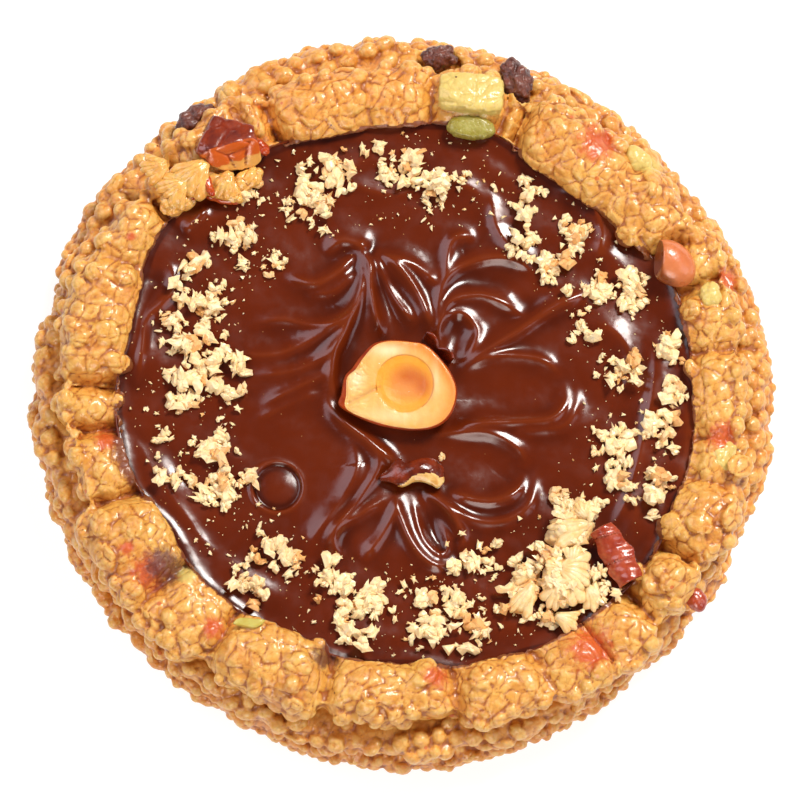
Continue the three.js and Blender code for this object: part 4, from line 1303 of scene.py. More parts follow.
@dataclass
class Pool:
    """The swirled chocolate in the well.

    Attributes:
        rim: The rim that it lies in.
        level: Height of its surface away from the swirls.
        well: Height of the crust below it.
        gap: Air left below it.
        strokes: The ridges.
        bowls: Middle, half axes, turn and depth of the shallow bowls.
        disc: Middle and radius of the disc-shaped mark.
        sides: Points round the pool.
        rings: Rings from its edge to its middle.
    """

    rim: Rim
    level: float = 10.8
    well: float = 7.2
    gap: float = 0.3
    sides: int = 620
    rings: int = 148
    strokes: tuple[Stroke, ...] = (
        Stroke(((6.5, 2.2), (9.6, 4.1), (13.2, 4.7), (17.2, 4.0), (19.4, 1.6)), 0.75, 0.5, 0.9),
        Stroke(((19.4, 1.8), (19.6, -0.8), (18.0, -2.9), (14.4, -3.3), (9.2, -3.5), (6.0, -4.2)), 0.95, 0.5,
               0.7),
        Stroke(((21.0, 1.6), (20.9, -1.4), (18.9, -4.0), (12.5, -4.6)), 0.45, 0.5, 0.5),
        Stroke(((2.4, -5.0), (7.3, -4.6), (11.1, -4.9), (14.2, -6.8), (14.9, -9.4)), 0.7, 0.7, 0.5),
        Stroke(((14.9, -9.2), (13.7, -11.7), (11.1, -12.9), (8.0, -12.6), (5.2, -11.4)), 0.95, 0.5, 0.8),
        Stroke(((16.3, -8.6), (15.4, -13.0), (13.2, -14.9), (10.4, -15.4), (7.3, -14.5), (3.8, -11.8)), 0.65,
               0.5, 0.5),
        Stroke(((-0.6, -11.4), (0.2, -15.6), (2.2, -19.2), (4.6, -20.7), (6.8, -19.5)), 0.9, 0.8, 0.4),
        Stroke(((6.9, -19.2), (7.3, -17.0), (5.5, -13.9), (2.4, -11.2)), 0.9, 0.5, 0.6),
        Stroke(((1.2, -11.9), (2.6, -17.0), (4.6, -19.2), (5.5, -17.8), (4.1, -14.2)), 0.5, 0.35, 0.35),
        Stroke(((-0.8, -11.6), (-0.9, -14.1), (-2.3, -17.0), (-4.8, -20.3)), 0.75, 0.4, 0.9),
        Stroke(((-0.8, -11.8), (-4.3, -14.1), (-7.2, -16.1), (-7.9, -18.0), (-6.7, -20.3)), 0.75, 0.45, 0.9),
        Stroke(((-4.6, -5.2), (-2.6, -8.4), (-4.6, -12.1), (-8.4, -17.0), (-8.9, -19.8)), 0.85, 0.4, 1.0),
        Stroke(((-6.6, -4.4), (-5.2, -8.2), (-6.7, -12.1), (-10.2, -17.0), (-10.2, -19.8)), 0.5, 0.5, 1.0),
        Stroke(((-8.9, 0.6), (-8.4, -1.4), (-6.7, -3.4), (-3.6, -5.8), (-0.9, -8.2), (-0.4, -10.4)), 0.95,
               0.5, 0.6),
        Stroke(((-5.0, 17.6), (-4.7, 13.6), (-5.7, 9.8), (-7.9, 4.9), (-8.2, 1.2), (-7.2, -1.8)), 1.0, 0.35,
               0.9),
        Stroke(((-14.2, 14.6), (-10.4, 13.4), (-7.2, 15.1), (-5.2, 17.7)), 0.75, 0.8, 0.45),
        Stroke(((-11.6, 12.2), (-8.1, 12.5), (-5.2, 15.2)), 0.5, 0.8, 0.4),
        Stroke(((-19.0, 8.4), (-14.5, 9.1), (-10.4, 8.4), (-6.7, 9.0), (-4.8, 12.2)), 0.55, 1.0, 0.4),
        Stroke(((-21.0, 5.1), (-15.0, 4.9), (-9.7, 7.2), (-5.3, 10.6)), 0.55, 1.0, 0.4),
        Stroke(((-19.5, 2.1), (-12.8, 2.9), (-8.4, 5.3), (-6.0, 8.8)), 0.45, 1.0, 0.4),
        Stroke(((-17.0, -1.4), (-11.6, 1.2), (-8.2, 2.8)), 0.45, 0.8, 0.4),
        Stroke(((-18.0, -3.4), (-12.8, -1.0), (-9.0, 0.6)), 0.35, 0.8, 0.5),
        Stroke(((-5.6, 18.2), (-3.8, 16.0), (-3.5, 12.4), (-2.8, 8.8), (-1.6, 6.7)), 1.2, 0.45, 0.7),
        Stroke(((-3.4, 17.8), (-1.2, 12.4), (2.0, 8.0)), 0.75, 0.4, 0.6),
        Stroke(((-3.6, 18.0), (0.1, 15.0), (2.4, 11.4), (3.9, 6.9)), 1.0, 0.5, 0.9),
        Stroke(((-9.4, 17.2), (-7.2, 18.6), (-5.3, 18.3), (-3.2, 17.6)), 0.7, 0.9, 0.5),
        Stroke(((-2.3, 17.3), (1.9, 15.5), (4.9, 12.7)), 0.6, 0.8, 0.5),
        Stroke(((4.2, 7.0), (4.6, 12.0), (6.2, 14.8), (9.2, 16.2), (12.7, 16.4), (17.2, 14.4)), 0.8, 0.9,
               0.4),
        Stroke(((4.0, 6.7), (5.6, 10.9), (8.5, 12.0), (11.1, 11.6), (15.6, 9.2)), 0.75, 0.9, 0.4),
        Stroke(((5.4, 3.6), (4.5, 7.2), (5.4, 9.3), (7.2, 9.9), (8.6, 8.7), (9.0, 6.9), (7.0, 3.2)), 0.6, 0.5,
               0.45),
        Stroke(((6.4, 3.0), (10.2, 5.4), (13.7, 7.4), (17.0, 9.7), (20.5, 11.6), (23.8, 12.8)), 0.95, 0.9,
               0.5),
        Stroke(((5.2, 13.6), (5.9, 18.2), (7.6, 19.3), (9.0, 18.2)), 0.55, 0.5, 0.5),
        Stroke(((10.8, 25.0), (11.7, 19.8), (16.2, 15.0)), 0.55, 0.9, 0.5),
        Stroke(((17.6, 25.0), (21.9, 23.7), (24.2, 19.6), (23.2, 15.6)), 0.6, 0.6, 0.8),
        Stroke(((22.0, 9.0), (25.6, 7.6), (27.4, 4.0), (26.6, -1.0)), 0.4, 0.8, 0.8),
        Stroke(((-29.2, 16.8), (-27.4, 15.1), (-27.1, 12.8), (-28.5, 11.0), (-30.3, 9.0), (-30.9, 5.1),
                (-31.6, 0.5)),
               0.75, 0.5, 0.9),
        Stroke(((-23.7, 23.4), (-23.9, 21.7), (-26.2, 19.6)), 0.6, 0.4, 0.8),
        Stroke(((-32.9, -3.4), (-31.0, -6.5), (-29.6, -9.3), (-27.5, -12.4), (-25.5, -14.7), (-23.6, -17.4),
                (-21.2, -19.8)), 0.35, 0.6, 1.8),
        Stroke(((30.6, 6.4), (29.8, -0.6), (28.6, -6.7), (26.8, -12.8), (24.0, -17.6)), 0.5, 1.4, 0.6),
        Stroke(((-9.0, 26.6), (-1.0, 24.4), (6.0, 26.0), (12.0, 22.6)), 0.35, 1.2, 0.6),
    )
    bowls: Rows = (
        (13.4, 0.6, 5.8, 3.7, 0, 0.55), (9.0, -8.6, 5.4, 3.6, -12, 0.55), (3.6, -15.8, 3.6, 2.0, -65, 0.6),
        (6.7, 7.2, 2.9, 2.0, 80, 0.45), (-2.2, -16.6, 3.2, 2.0, 60, 0.35), (-6.0, -13.2, 4.0, 1.6, 52, 0.35),
        (-1.8, 12.6, 4.6, 1.2, -72, 0.45), (12.4, 9.6, 5.0, 1.8, 28, 0.3), (10.6, 13.6, 4.6, 1.7, 4, 0.3),
    )
    disc: Triple = (-14.7, -11.1, 3.05)

    def height(self, x: Array, y: Array) -> Array:
        """Height of the surface.

        Args:
            x: Places along X in the layout.
            y: Places along Y in the layout.

        Returns:
            Height in millimetres.
        """
        height = np.full(x.shape, self.level)
        height += 0.12 * np.sin(0.42 * x + 1.3) * np.cos(0.37 * y) + 0.06 * np.sin(0.9 * y + 0.5 * x)
        for cx, cy, long, short, turn, depth in self.bowls:
            cos, sin = math.cos(math.radians(turn)), math.sin(math.radians(turn))
            along = ((x - cx) * cos + (y - cy) * sin) / long
            aside = ((y - cy) * cos - (x - cx) * sin) / short
            height -= depth * np.exp(-1.2 * (along**2 + aside**2))
        for stroke in self.strokes:
            height += self.ridge(stroke, x, y)
        cx, cy, radius = self.disc
        reach = np.hypot(x - cx, y - cy)
        inside = np.clip((radius - reach) / 0.45, 0, 1)
        dip = 0.6 * inside * inside * (3 - 2 * inside) - 0.42 * np.clip(1.0 - (reach / radius) ** 2, 0, 1)
        lip = 0.16 * np.exp(-(((reach - radius) / 0.35) ** 2)) * (1 - 0.5 * (x - cx) / radius)
        return height - dip + np.clip(lip, 0, None) + self.meniscus(x, y)

    def meniscus(self, x: Array, y: Array) -> Array:
        """The chocolate climbs a little towards the crust, unevenly."""
        angle = np.arctan2(y, x)
        inside = self.rim.pool_radius(angle) - np.hypot(x, y)
        climb = 0.5 + 0.2 * np.cos(angle - math.pi) + 0.25 * np.sin(7 * angle) + 0.15 * np.sin(17 * angle + 2)
        swell = 0.25 * np.exp(-(((inside - 3.6) / 1.4) ** 2)) * (0.6 + 0.6 * np.sin(11 * angle + 1))
        return climb * np.exp(-np.clip(inside, 0, None) / 1.1) + swell

    def ridge(self, stroke: Stroke, x: Array, y: Array) -> Array:
        """Height that one stroke adds: steep on one side, gentle on the other, tapered."""
        line = catmull_rom(stroke.path, 7)
        nearest = np.full(x.shape, np.inf)
        signed, share = np.zeros(x.shape), np.zeros(x.shape)
        lengths = np.append(0, np.cumsum(np.hypot(*np.diff(line, axis=0).T)))
        box = (x > line[:, 0].min() - 4) & (x < line[:, 0].max() + 4)
        box &= (y > line[:, 1].min() - 4) & (y < line[:, 1].max() + 4)
        near_x, near_y = x[box], y[box]
        best, side, place = nearest[box], signed[box], share[box]
        for start, end, before, after in zip(line[:-1], line[1:], lengths[:-1], lengths[1:]):
            dx, dy = end - start
            square = dx * dx + dy * dy
            part = np.clip(((near_x - start[0]) * dx + (near_y - start[1]) * dy) / square, 0, 1)
            off_x, off_y = near_x - start[0] - part * dx, near_y - start[1] - part * dy
            distance = np.hypot(off_x, off_y)
            closer = distance < best
            best = np.where(closer, distance, best)
            side = np.where(closer, np.sign(dx * off_y - dy * off_x), side)
            place = np.where(closer, (before + part * (after - before)) / lengths[-1], place)
        width = 1.2 * np.where(side > 0, stroke.left, stroke.right)
        rounded = np.sqrt(best**2 + 0.12) - math.sqrt(0.12)
        taper = np.clip(2.6 * place + 0.1, 0, 1) * np.clip(4 * (1 - place), 0, 1)
        taper = taper * taper * (3 - 2 * taper)
        added = np.zeros(x.shape)
        added[box] = stroke.height * taper * np.exp(-rounded / width)
        return added

    def build(self) -> Piece:
        """Makes the chocolate as rings from its underside over its edge to its middle."""
        angle = np.linspace(0, 2 * math.pi, self.sides, endpoint=False)
        edge = self.rim.pool_radius(angle) + 0.25
        cos, sin = np.cos(angle), np.sin(angle)
        shares = np.linspace(1, 0.01, self.rings) ** 0.86
        x, y = shares[:, None] * edge * cos, shares[:, None] * edge * sin
        top = np.stack([x, y, self.height(x, y)], axis=-1)
        floor = self.well + self.gap
        skirt = [circle(angle, edge, height) for height in (floor, 9.0, 10.2)]
        middle = (0, 0, float(self.height(np.zeros(1), np.zeros(1))[0]))
        points, faces = closed_by_poles(np.concatenate([skirt, top]), (0, 0, floor), middle)
        return new_mesh_object("chocolate_pool", points, faces)

    def dress(self) -> Piece:
        """Builds the chocolate in place of the plain one."""
        piece = self.build()
        # The hollows lay the chocolate's painted shade in the folds and its painted highlight on the crests.
        store(piece, hollow=hollows(piece, 60))
        return settle(piece, "chocolate", "chocolate", finish=CHOCOLATE)


# ---------- chopped nuts


@dataclass
class ChoppedNuts:
    """Scraps of chopped nut on the chocolate, in loose heaps.

    Attributes:
        pool: The chocolate they lie on.
        heaps: Middle, spread and number of scraps of each heap.
        perched: Middle, height, spread, number and size of the scraps on the larger pieces.
        kinds: Number of different scraps.
        strays: Loose scraps anywhere in the ring of heaps.
        dust: Grains of nut dust.
        seed: Start of the random draws.
        plenty: Scraps drawn for each one in a heap's number.
        reach: Radius within which strays and dust fall.
    """

    pool: Pool
    heaps: Rows = (
        (-10.3, 23.7, 4.1, 34), (-7.5, 27.9, 2.9, 12), (-1.9, 27.3, 3.6, 20), (-3.7, 31.2, 1.7, 6),
        (4.3, 25.3, 4.0, 32), (1.1, 29.0, 1.7, 8), (15.4, 24.3, 3.6, 22), (15.2, 18.5, 2.9, 14),
        (20.2, 19.1, 3.1, 18), (17.8, 14.9, 2.6, 12), (22.9, 12.5, 2.6, 16), (27.4, 12.7, 3.4, 20),
        (21.2, 8.1, 1.9, 5), (32.0, 6.1, 2.2, 16), (32.5, 0.3, 2.2, 18), (26.2, 2.8, 3.1, 14),
        (30.4, -3.7, 2.9, 18), (25.5, -6.2, 3.4, 26), (26.0, -10.4, 2.9, 16), (31.0, -10.4, 2.2, 16),
        (31.3, -14.8, 2.0, 9), (19.3, -13.2, 1.9, 8), (22.6, -13.6, 1.6, 7), (14.6, -22.4, 3.2, 20),
        (17.0, -26.6, 2.4, 12), (22.8, -24.6, 2.2, 12), (8.3, -20.1, 3.2, 15), (6.5, -25.0, 3.6, 18),
        (3.5, -28.2, 4.0, 32), (9.5, -28.2, 3.2, 18), (-8.5, -21.9, 2.9, 15), (-4.3, -25.6, 4.1, 34),
        (-6.7, -28.0, 2.6, 12), (-15.4, -18.3, 3.1, 13), (-18.1, -22.9, 2.9, 15), (-13.3, -20.1, 2.2, 8),
        (-22.3, -6.7, 3.1, 24), (-21.4, -11.6, 3.6, 30), (-26.7, -10.4, 2.6, 12), (-25.3, -0.6, 3.4, 18),
        (-28.3, -5.5, 2.2, 6), (-23.5, 3.0, 3.6, 24), (-19.3, 4.0, 1.9, 7), (-25.5, 6.1, 3.1, 16),
        (-23.5, 10.9, 4.1, 32), (-27.9, 8.5, 1.9, 7), (-24.7, 15.4, 1.9, 7), (-19.3, 18.8, 3.4, 18),
        (-15.1, 16.1, 2.2, 8), (-18.7, 23.9, 2.4, 9), (-20.2, 0.0, 1.7, 5),
    )
    perched: Rows = (
        (19.6, -15.2, 13.1, 1.5, 12, 1.5), (17.6, -20.0, 13.2, 1.6, 12, 1.5),
        (18.6, -22.6, 13.3, 1.8, 16, 1.6),
        (20.6, -17.8, 13.0, 1.3, 10, 1.3), (14.4, -23.4, 11.9, 1.5, 10, 1.7),
        (15.4, -21.6, 12.2, 1.2, 8, 1.5),
        (22.6, -22.0, 12.2, 1.3, 9, 1.4), (24.0, -24.2, 12.4, 1.2, 8, 1.3), (4.7, -7.7, 12.3, 0.15, 2, 0.9),
    )
    kinds: int = 24
    strays: int = 260
    dust: int = 900
    seed: int = 29
    plenty: float = 1.35
    reach: float = 33.0

    def scrap(self, number: int) -> Piece:
        """One scrap about a millimetre across: a few jagged flakes grown together side by side."""
        draw = np.random.default_rng(self.seed + number)
        parts, at = [], np.zeros(3)
        for _ in range((1, 2, 3, 4)[number % 4]):
            spikes = 2 * int(draw.integers(3, 6))
            angle = (np.arange(spikes) + draw.uniform(-0.35, 0.35, spikes)) * 2 * math.pi / spikes
            blocky = number % 2
            notch = draw.uniform(0.34, 0.46, spikes) if blocky else draw.uniform(0.2, 0.36, spikes)
            reach = np.where(np.arange(spikes) % 2, draw.uniform(0.38, 0.62 - 0.12 * blocky, spikes), notch)
            star = np.stack([1.25 * reach * np.cos(angle), 0.75 * reach * np.sin(angle)], axis=-1)
            thick = draw.uniform(0.14, 0.26) + 0.12 * blocky
            rings = [np.column_stack([star * share, thick * (rise + draw.uniform(-0.25, 0.25, spikes))])
                     for share, rise in ((1.0, -0.2), (0.62, 0.9))]
            points, faces = closed_by_poles(np.array(rings), (0, 0, -thick), (0, 0, 1.1 * thick))
            parts.append((turned(points, at, draw.uniform(-1, 1, 3) * (38, 38, 180)), faces))
            away = draw.uniform(0, 2 * math.pi)
            at = at * 0.65 + np.array((0.46 * math.cos(away), 0.46 * math.sin(away),
                                       draw.uniform(-0.05, 0.22)))
        points, faces = joined(parts)
        piece = new_mesh_object(f"scrap_{number:02d}", points - LAYOUT_SHIFT, faces)
        height = points[:, 2]
        # rise lays the painted shade round the scrap's foot.
        store(piece, rise=(height - height.min()) / np.ptp(height))
        piece.data.shade_flat()
        return piece

    def places(self) -> dict[str, Array]:
        """Draws where every scrap lies, its kind, size, turn and tone."""
        draw = np.random.default_rng(self.seed)
        spots, sizes = [], []
        for cx, cy, spread, pieces in self.heaps:
            count = round(self.plenty * pieces)
            angle = draw.uniform(0, 2 * math.pi, count)
            reach = spread * np.abs(draw.normal(0, 0.55, count))
            spots.append(np.stack([cx + reach * np.cos(angle), cy + reach * np.sin(angle)], axis=-1))
            sizes.append(draw.uniform(0.7, 1.15, count) * np.where(draw.random(count) < 0.3, 1.75, 1.05))
        for count, low, high in ((self.strays, 0.35, 0.8), (self.dust, 0.1, 0.28)):
            angle = draw.uniform(0, 2 * math.pi, count)
            reach = self.reach * draw.uniform(0.5, 1.0, count) ** 0.7
            spots.append(np.stack([reach * np.cos(angle), reach * np.sin(angle)], axis=-1))
            sizes.append(draw.uniform(low, high, count))
        spot, size = np.vstack(spots), np.concatenate(sizes)
        angle = np.arctan2(spot[:, 1], spot[:, 0])
        room = self.pool.rim.pool_radius(angle) - np.hypot(*spot.T)
        kept = (room > 0.4 + 0.6 * size) & (np.hypot(*spot.T) > 8)
        spot, size = spot[kept], size[kept]
        heaped = len(size) - np.count_nonzero(kept[-self.strays - self.dust:])
        height = self.pool.height(spot[:, 0], spot[:, 1])
        stacked = np.clip(draw.normal(0, 0.5, len(size)), 0, 1.2) * np.clip(size - 0.5, 0, 1)
        points = [np.column_stack([spot, height + 0.22 * size + stacked])]
        for x, y, z, spread, count, scale in self.perched:
            points.append(np.array((x, y, z)) + draw.normal(0, 0.5, (count, 3)) * (spread, spread, 0.35))
            size = np.append(size, scale * draw.uniform(0.7, 1.1, count))
        kind = draw.integers(0, self.kinds, len(size))
        loose = slice(heaped, len(size) - sum(row[4] for row in self.perched))
        kind[loose] -= kind[loose] % 4
        return {
            "points": np.vstack(points),
            "kind": kind,
            "size": size[:, None] * draw.uniform(0.8, 1.25, (len(size), 3)),
            "turn": draw.uniform(-1, 1, (len(size), 3)) * (0.6, 0.6, math.pi),
            "tone": draw.random(len(size)),
        }

    def dress(self) -> Piece:
        """Scatters the scraps and keeps them as one plain mesh."""
        scraps = bpy.data.collections.new("nut_scraps")
        for number in range(self.kinds):
            piece = self.scrap(number)
            bpy.context.scene.collection.objects.unlink(piece)
            scraps.objects.link(piece)
        drawn = self.places()
        piece = new_mesh_object("chopped_nuts", drawn["points"], [])
        store(piece, tone=drawn["tone"])
        kinds = piece.data.attributes.new("kind", "INT", "POINT")
        kinds.data.foreach_set("value", drawn["kind"].astype(np.int32))
        for name in ("size", "turn"):
            layer = piece.data.attributes.new(name, "FLOAT_VECTOR", "POINT")
            layer.data.foreach_set("vector", drawn[name].astype(np.float32).ravel())
        made_by_tree(piece, scatter_tree(), {"Scraps": scraps, "Material": CRUMB.material()})
        piece.data.shade_flat()
        for scrap in list(scraps.objects):
            bpy.data.objects.remove(scrap)
        bpy.data.collections.remove(scraps)
        return settle(piece, "walnut")


# ---------- nuts and fruit


@dataclass(frozen=True)
class Nugget:
    """A knobbly ball, flattened by planes, that stands for one CAD node.

    Attributes:
        node: The node it replaces, and its own name.
        slot: The record's material slot.
        at: Its middle.
        turn: Its turn about X, Y and Z, in degrees.
        radii: Its half axes.
        rough: How knobbly it is.
        seed: Picks the pattern of the knobs.
        finish: Its surface.
        planes: Normal and distance of each flattening plane.
        wrinkle: Height of extra fine wrinkles.
        ridges: Height of sharp parallel ridges, and their direction in degrees.
        dent: Depth of the seams between soft facets.
        faces_to: The way the side with the finish's second colour faces.
        detail: Number of subdivisions.
        extra: Whether it is a small piece of its own that stands for no node.
    """

    node: str
    slot: str
    at: Triple
    turn: Triple
    radii: Triple
    rough: float
    seed: int
    finish: Finish
    planes: Rows = ()
    wrinkle: float = 0.0
    ridges: tuple[float, float] = (0.0, 0.0)
    dent: float = 0.0
    faces_to: Triple = (0, 0, 0)
    detail: int = 5
    extra: bool = False

    def shape(self) -> tuple[Array, Array]:
        """The nugget round its own middle.

        Returns:
            Its points and triangles.
        """
        ball, faces = unit_ball(self.detail)
        bump = knobs(ball + self.seed, 0.9, self.seed) - 0.6
        points = ball * (1 + self.rough * bump)[:, None] * self.radii
        if self.wrinkle:
            fold = knobs(points * (1.0, 1.0, 0.5) + self.seed, 1.1, self.seed + 9) - 0.6
            fine = knobs(points + self.seed, 0.55, self.seed + 19) - 0.6
            points = points + ball * (self.wrinkle * (fold + 0.4 * fine))[:, None]
        height, turn = self.ridges
        if height:
            run = points[:, 0] * math.cos(math.radians(turn)) + points[:, 1] * math.sin(math.radians(turn))
            bend = 0.5 * np.sin(1.1 * points[:, 1] + self.seed) + 0.4 * np.sin(1.7 * points[:, 0])
            saw = (run / 0.95 + bend) % 1.0
            chips = pillows(points + self.seed, 1.1, self.seed + 29) - 0.6
            points = points + ball * (height * (saw - 0.5) + 0.8 * height * chips)[:, None]
        for nx, ny, nz, distance in self.planes:
            normal = np.array((nx, ny, nz)) / math.sqrt(nx * nx + ny * ny + nz * nz)
            over = points @ normal - distance
            soft = 0.12 * np.log1p(np.exp(np.clip(over / 0.12, -30, 30)))
            points = points - soft[:, None] * normal
        if self.dent:
            facets = pillows(points + self.seed, 0.75 * max(self.radii), self.seed + 39) - 0.7
            points = points + ball * (self.dent * facets)[:, None]
        return points, faces

    def dress(self) -> Piece:
        """Makes the nugget in its place."""
        points, faces = self.shape()
        piece = new_mesh_object(f"{self.node}_real", turned(points, self.at, self.turn), [faces])
        side = vertex_rows(piece.data, "normal") @ np.array(self.faces_to)
        below = self.at[2] + 0.7 - layout_points(piece)[:, 2]
        foot = np.clip(below / 0.9, 0, 1) * (side > 0.3)
        store(piece, side=side, foot=foot, hollow=hollows(piece, 20))
        return self.settled(piece)

    def settled(self, piece: Piece) -> Piece:
        """Settles a mesh made from the nugget, in place of its node unless it is extra."""
        nodes = () if self.extra else (self.node,)
        return settle(piece, self.slot, *nodes, finish=self.finish)


@dataclass(frozen=True)
class Fan:
    """A shell of walnut whose ridges spread from its narrow end.

    Attributes:
        at: Its narrow end.
        turn: Its turn about X, Y and Z, in degrees; unturned it opens towards +X.
        reach: Distance from the narrow end to the wide edge.
        spread: Angle that it opens to, in degrees.
        crest: Height of its ridges.
    """

    at: Triple
    turn: Triple
    reach: float
    spread: float
    crest: float = 0.30

    def place(self, u: Array, v: Array) -> Array:
        """Middle surface of the shell."""
        swing = math.radians(self.spread) * (u - 0.5)
        phase = 0.9 * np.sin(7 * u + self.reach) + 0.6 * np.sin(4 * v + self.reach)
        fold = np.abs(np.sin(math.pi * (2.0 + self.spread / 26) * u + phase))
        reach = self.reach * (0.1 + 0.9 * v) * (1 + 0.14 * fold * v + 0.09 * v * np.sin(13 * u + self.reach))
        lift = 0.34 * self.reach * np.sin(math.pi * (0.25 + 0.62 * v)) + self.crest * (fold - 0.5) * v
        lift = lift - 0.5 * (2 * u - 1) ** 2
        return np.stack([reach * np.cos(swing), reach * np.sin(swing), lift], axis=-1)

    def sheet(self) -> Shape:
        """Its points and faces in their place."""
        points, faces = sheet_points(self.place, 48, 18, 0.5)
        return turned(points, self.at, self.turn), faces


@dataclass(frozen=True)
class WalnutPiece:
    """Chopped walnut: a knobbly core under a few ridged shells."""

    core: Nugget
    fans: tuple[Fan, ...]

    def dress(self) -> Piece:
        """Makes the core and its shells as one piece."""
        points, faces = self.core.shape()
        parts = [(turned(points, self.core.at, self.core.turn), [faces]), *(fan.sheet() for fan in self.fans)]
        points, faces = joined(parts)
        points[:, 2] += (0.06 + 0.5 * self.core.dent) * (pillows(points, 1.3, 95) - 0.7)
        piece = new_mesh_object(f"{self.core.node}_real", points, faces)
        # The low parts get painted shade through rise.
        rise = np.clip((layout_points(piece)[:, 2] - 11.0) / 2.0, 0, 1)
        store(piece, rise=rise, tone=np.zeros(len(rise)), hollow=hollows(piece, 8))
        return self.core.settled(piece)


@dataclass
class HazelnutHalf:
    """Half a hazelnut, cut face up, broken off straight on its left, its hollow off the middle.

    Attributes:
        at: Middle of the cut face.
        turn: Its turn about X, Y and Z, in degrees.
        depth: How deep the round underside reaches.
        hollow: Middle and radius of the kernel's hollow.
        dish: Middle and half axes of the dish in it.
        groove: Ends of the groove from the hollow to the break.
        cut_edge: Outline of the cut face.
        skin_edge: Outline of the skin, which stands out a little beyond it.
        sides: Points round the nut.
        even_past: Radius past which the face is only faintly wavy.
        skin_rings: Number of rings that belong to the skin.
    """

    at: Triple = (-0.1, 0.7, 13.4)
    turn: Triple = (3, -2, 0)
    depth: float = 4.4
    hollow: Triple = (0.53, 0.2, 3.5)
    dish: tuple[float, float, float, float] = (0.85, 0.3, 2.7, 2.4)
    groove: tuple[float, float, float, float] = (-2.4, -0.1, -6.1, -2.0)
    cut_edge: Rows = (
        (6.55, -0.95), (5.95, 1.22), (4.41, 3.39), (2.9, 4.75), (1.07, 5.16), (-1.2, 5.27), (-2.94, 4.75),
        (-4.28, 3.26), (-5.2, 1.9), (-6.2, 0.95), (-6.25, -0.9), (-6.1, -2.9), (-2.94, -4.27), (0.8, -5.09),
        (3.88, -4.82), (5.75, -3.39),
    )
    skin_edge: Rows = (
        (6.75, -1.0), (6.15, 1.3), (4.55, 3.5), (2.95, 4.9), (1.1, 5.3), (-1.3, 5.45), (-3.2, 5.0),
        (-4.65, 3.6), (-5.65, 2.2), (-6.6, 1.1), (-7.0, -0.9), (-7.1, -2.5), (-3.2, -4.5), (0.8, -5.3),
        (4.0, -5.05), (5.95, -3.6),
    )
    sides: int = 240
    even_past: float = 5.4
    skin_rings: int = 23

    def loop(self, edge: Rows) -> Array:
        """A smooth closed line through an outline's points."""
        closed = catmull_rom([edge[-1], *edge, edge[0], edge[1]], self.sides // len(edge))
        step = self.sides // len(edge)
        return closed[step:step + self.sides]

    def rings(self) -> Array:
        """Ring points from the round underside over the edge and the face into the hollow."""
        skin, cut = self.loop(self.skin_edge), self.loop(self.cut_edge)
        rows = catmull_rom([
            (0, 0.15, -1.0), (0, 0.5, -0.97), (0, 0.8, -0.78), (0, 0.95, -0.45), (0, 1.0, -0.16),
            (0, 1.0, -0.04),
            (1, 1.0, 0.0), (1, 0.98, 0.014), (1, 0.95, 0.021), (1, 0.92, 0.023),
        ], 4)
        rings = [np.column_stack([share * (skin + (cut - skin) * min(max(side, 0), 1)),
                                  np.full(len(cut), drop * self.depth)]) for side, share, drop in rows]
        cx, cy, radius = self.hollow
        angle = np.arctan2(cut[:, 1] - cy, cut[:, 0] - cx)
        round_it = np.column_stack([np.cos(angle), np.sin(angle)])
        cup = catmull_rom([(1.06, 0.06), (1.0, 0.03), (0.95, -0.02), (0.87, -0.06), (0.78, -0.08),
                           (0.72, -0.10),
                           (0.6, -0.18), (0.4, -0.28), (0.2, -0.34), (0.04, -0.36)], 5)
        inner = [np.column_stack([(cx, cy) + share * radius * round_it, np.full(len(cut), drop)]) for share,
                 drop in cup]
        flat = rings[-1]
        rings += [flat + part * (inner[0] - flat) for part in np.linspace(0, 1, 12)[1:-1]]
        return np.array(rings + inner)

    def near_groove(self, points: Array) -> Array:
        """Distance of each point from the line of the groove."""
        x0, y0, x1, y1 = self.groove
        run = np.array((x1 - x0, y1 - y0))
        off = points[:, :2] - (x0, y0)
        part = np.clip(off @ run / (run @ run), 0, 1)
        return np.hypot(*(off - part[:, None] * run).T)

    def dress(self) -> Piece:
        """Makes the nut with dark skin below its edge and the cut face above."""
        cx, cy, radius = self.hollow
        points, faces = closed_by_poles(self.rings(), (0, 0, -self.depth), (cx, cy, -0.36))
        upper = points[:, 2] > -0.7
        reach = np.hypot(points[:, 0] - cx, points[:, 1] - cy) / radius
        outer = np.hypot(*points[:, :2].T) > self.even_past
        face = upper & (points[:, 2] > -0.02)
        wavy = 0.05 * np.sin(1.7 * points[:, 0] + 1) * np.cos(1.3 * points[:, 1])
        wavy = wavy + 0.02 * np.sin(5.1 * points[:, 0])
        chips = 0.3 * (pillows(points, 0.75, 90) - 0.6) * np.exp(-(((points[:, 0] + 5.3) / 1.1) ** 2))
        cut = 0.32 * bell(self.near_groove(points), 0.36)
        points[:, 2] += np.where(face & ~outer, wavy + chips - cut,
                                 np.where(face, 0.6 * (wavy + chips) - cut, 0))
        piece = new_mesh_object("hazelnut_half_real", turned(points, self.at, self.turn), faces)
        cut = self.loop(self.cut_edge)
        turn = np.arctan2(points[:, 1], points[:, 0])
        order = np.argsort(np.arctan2(cut[:, 1], cut[:, 0]))
        border = np.interp(turn, np.arctan2(cut[:, 1], cut[:, 0])[order], np.hypot(*cut.T)[order],
                           period=2 * math.pi)
        inside = border - np.hypot(points[:, 0], points[:, 1])

        def patch(x: float, y: float, long: float, short: float) -> Array:
            """A soft patch of the face."""
            return np.exp(-(((points[:, 0] - x) / long) ** 2) - ((points[:, 1] - y) / short) ** 2)

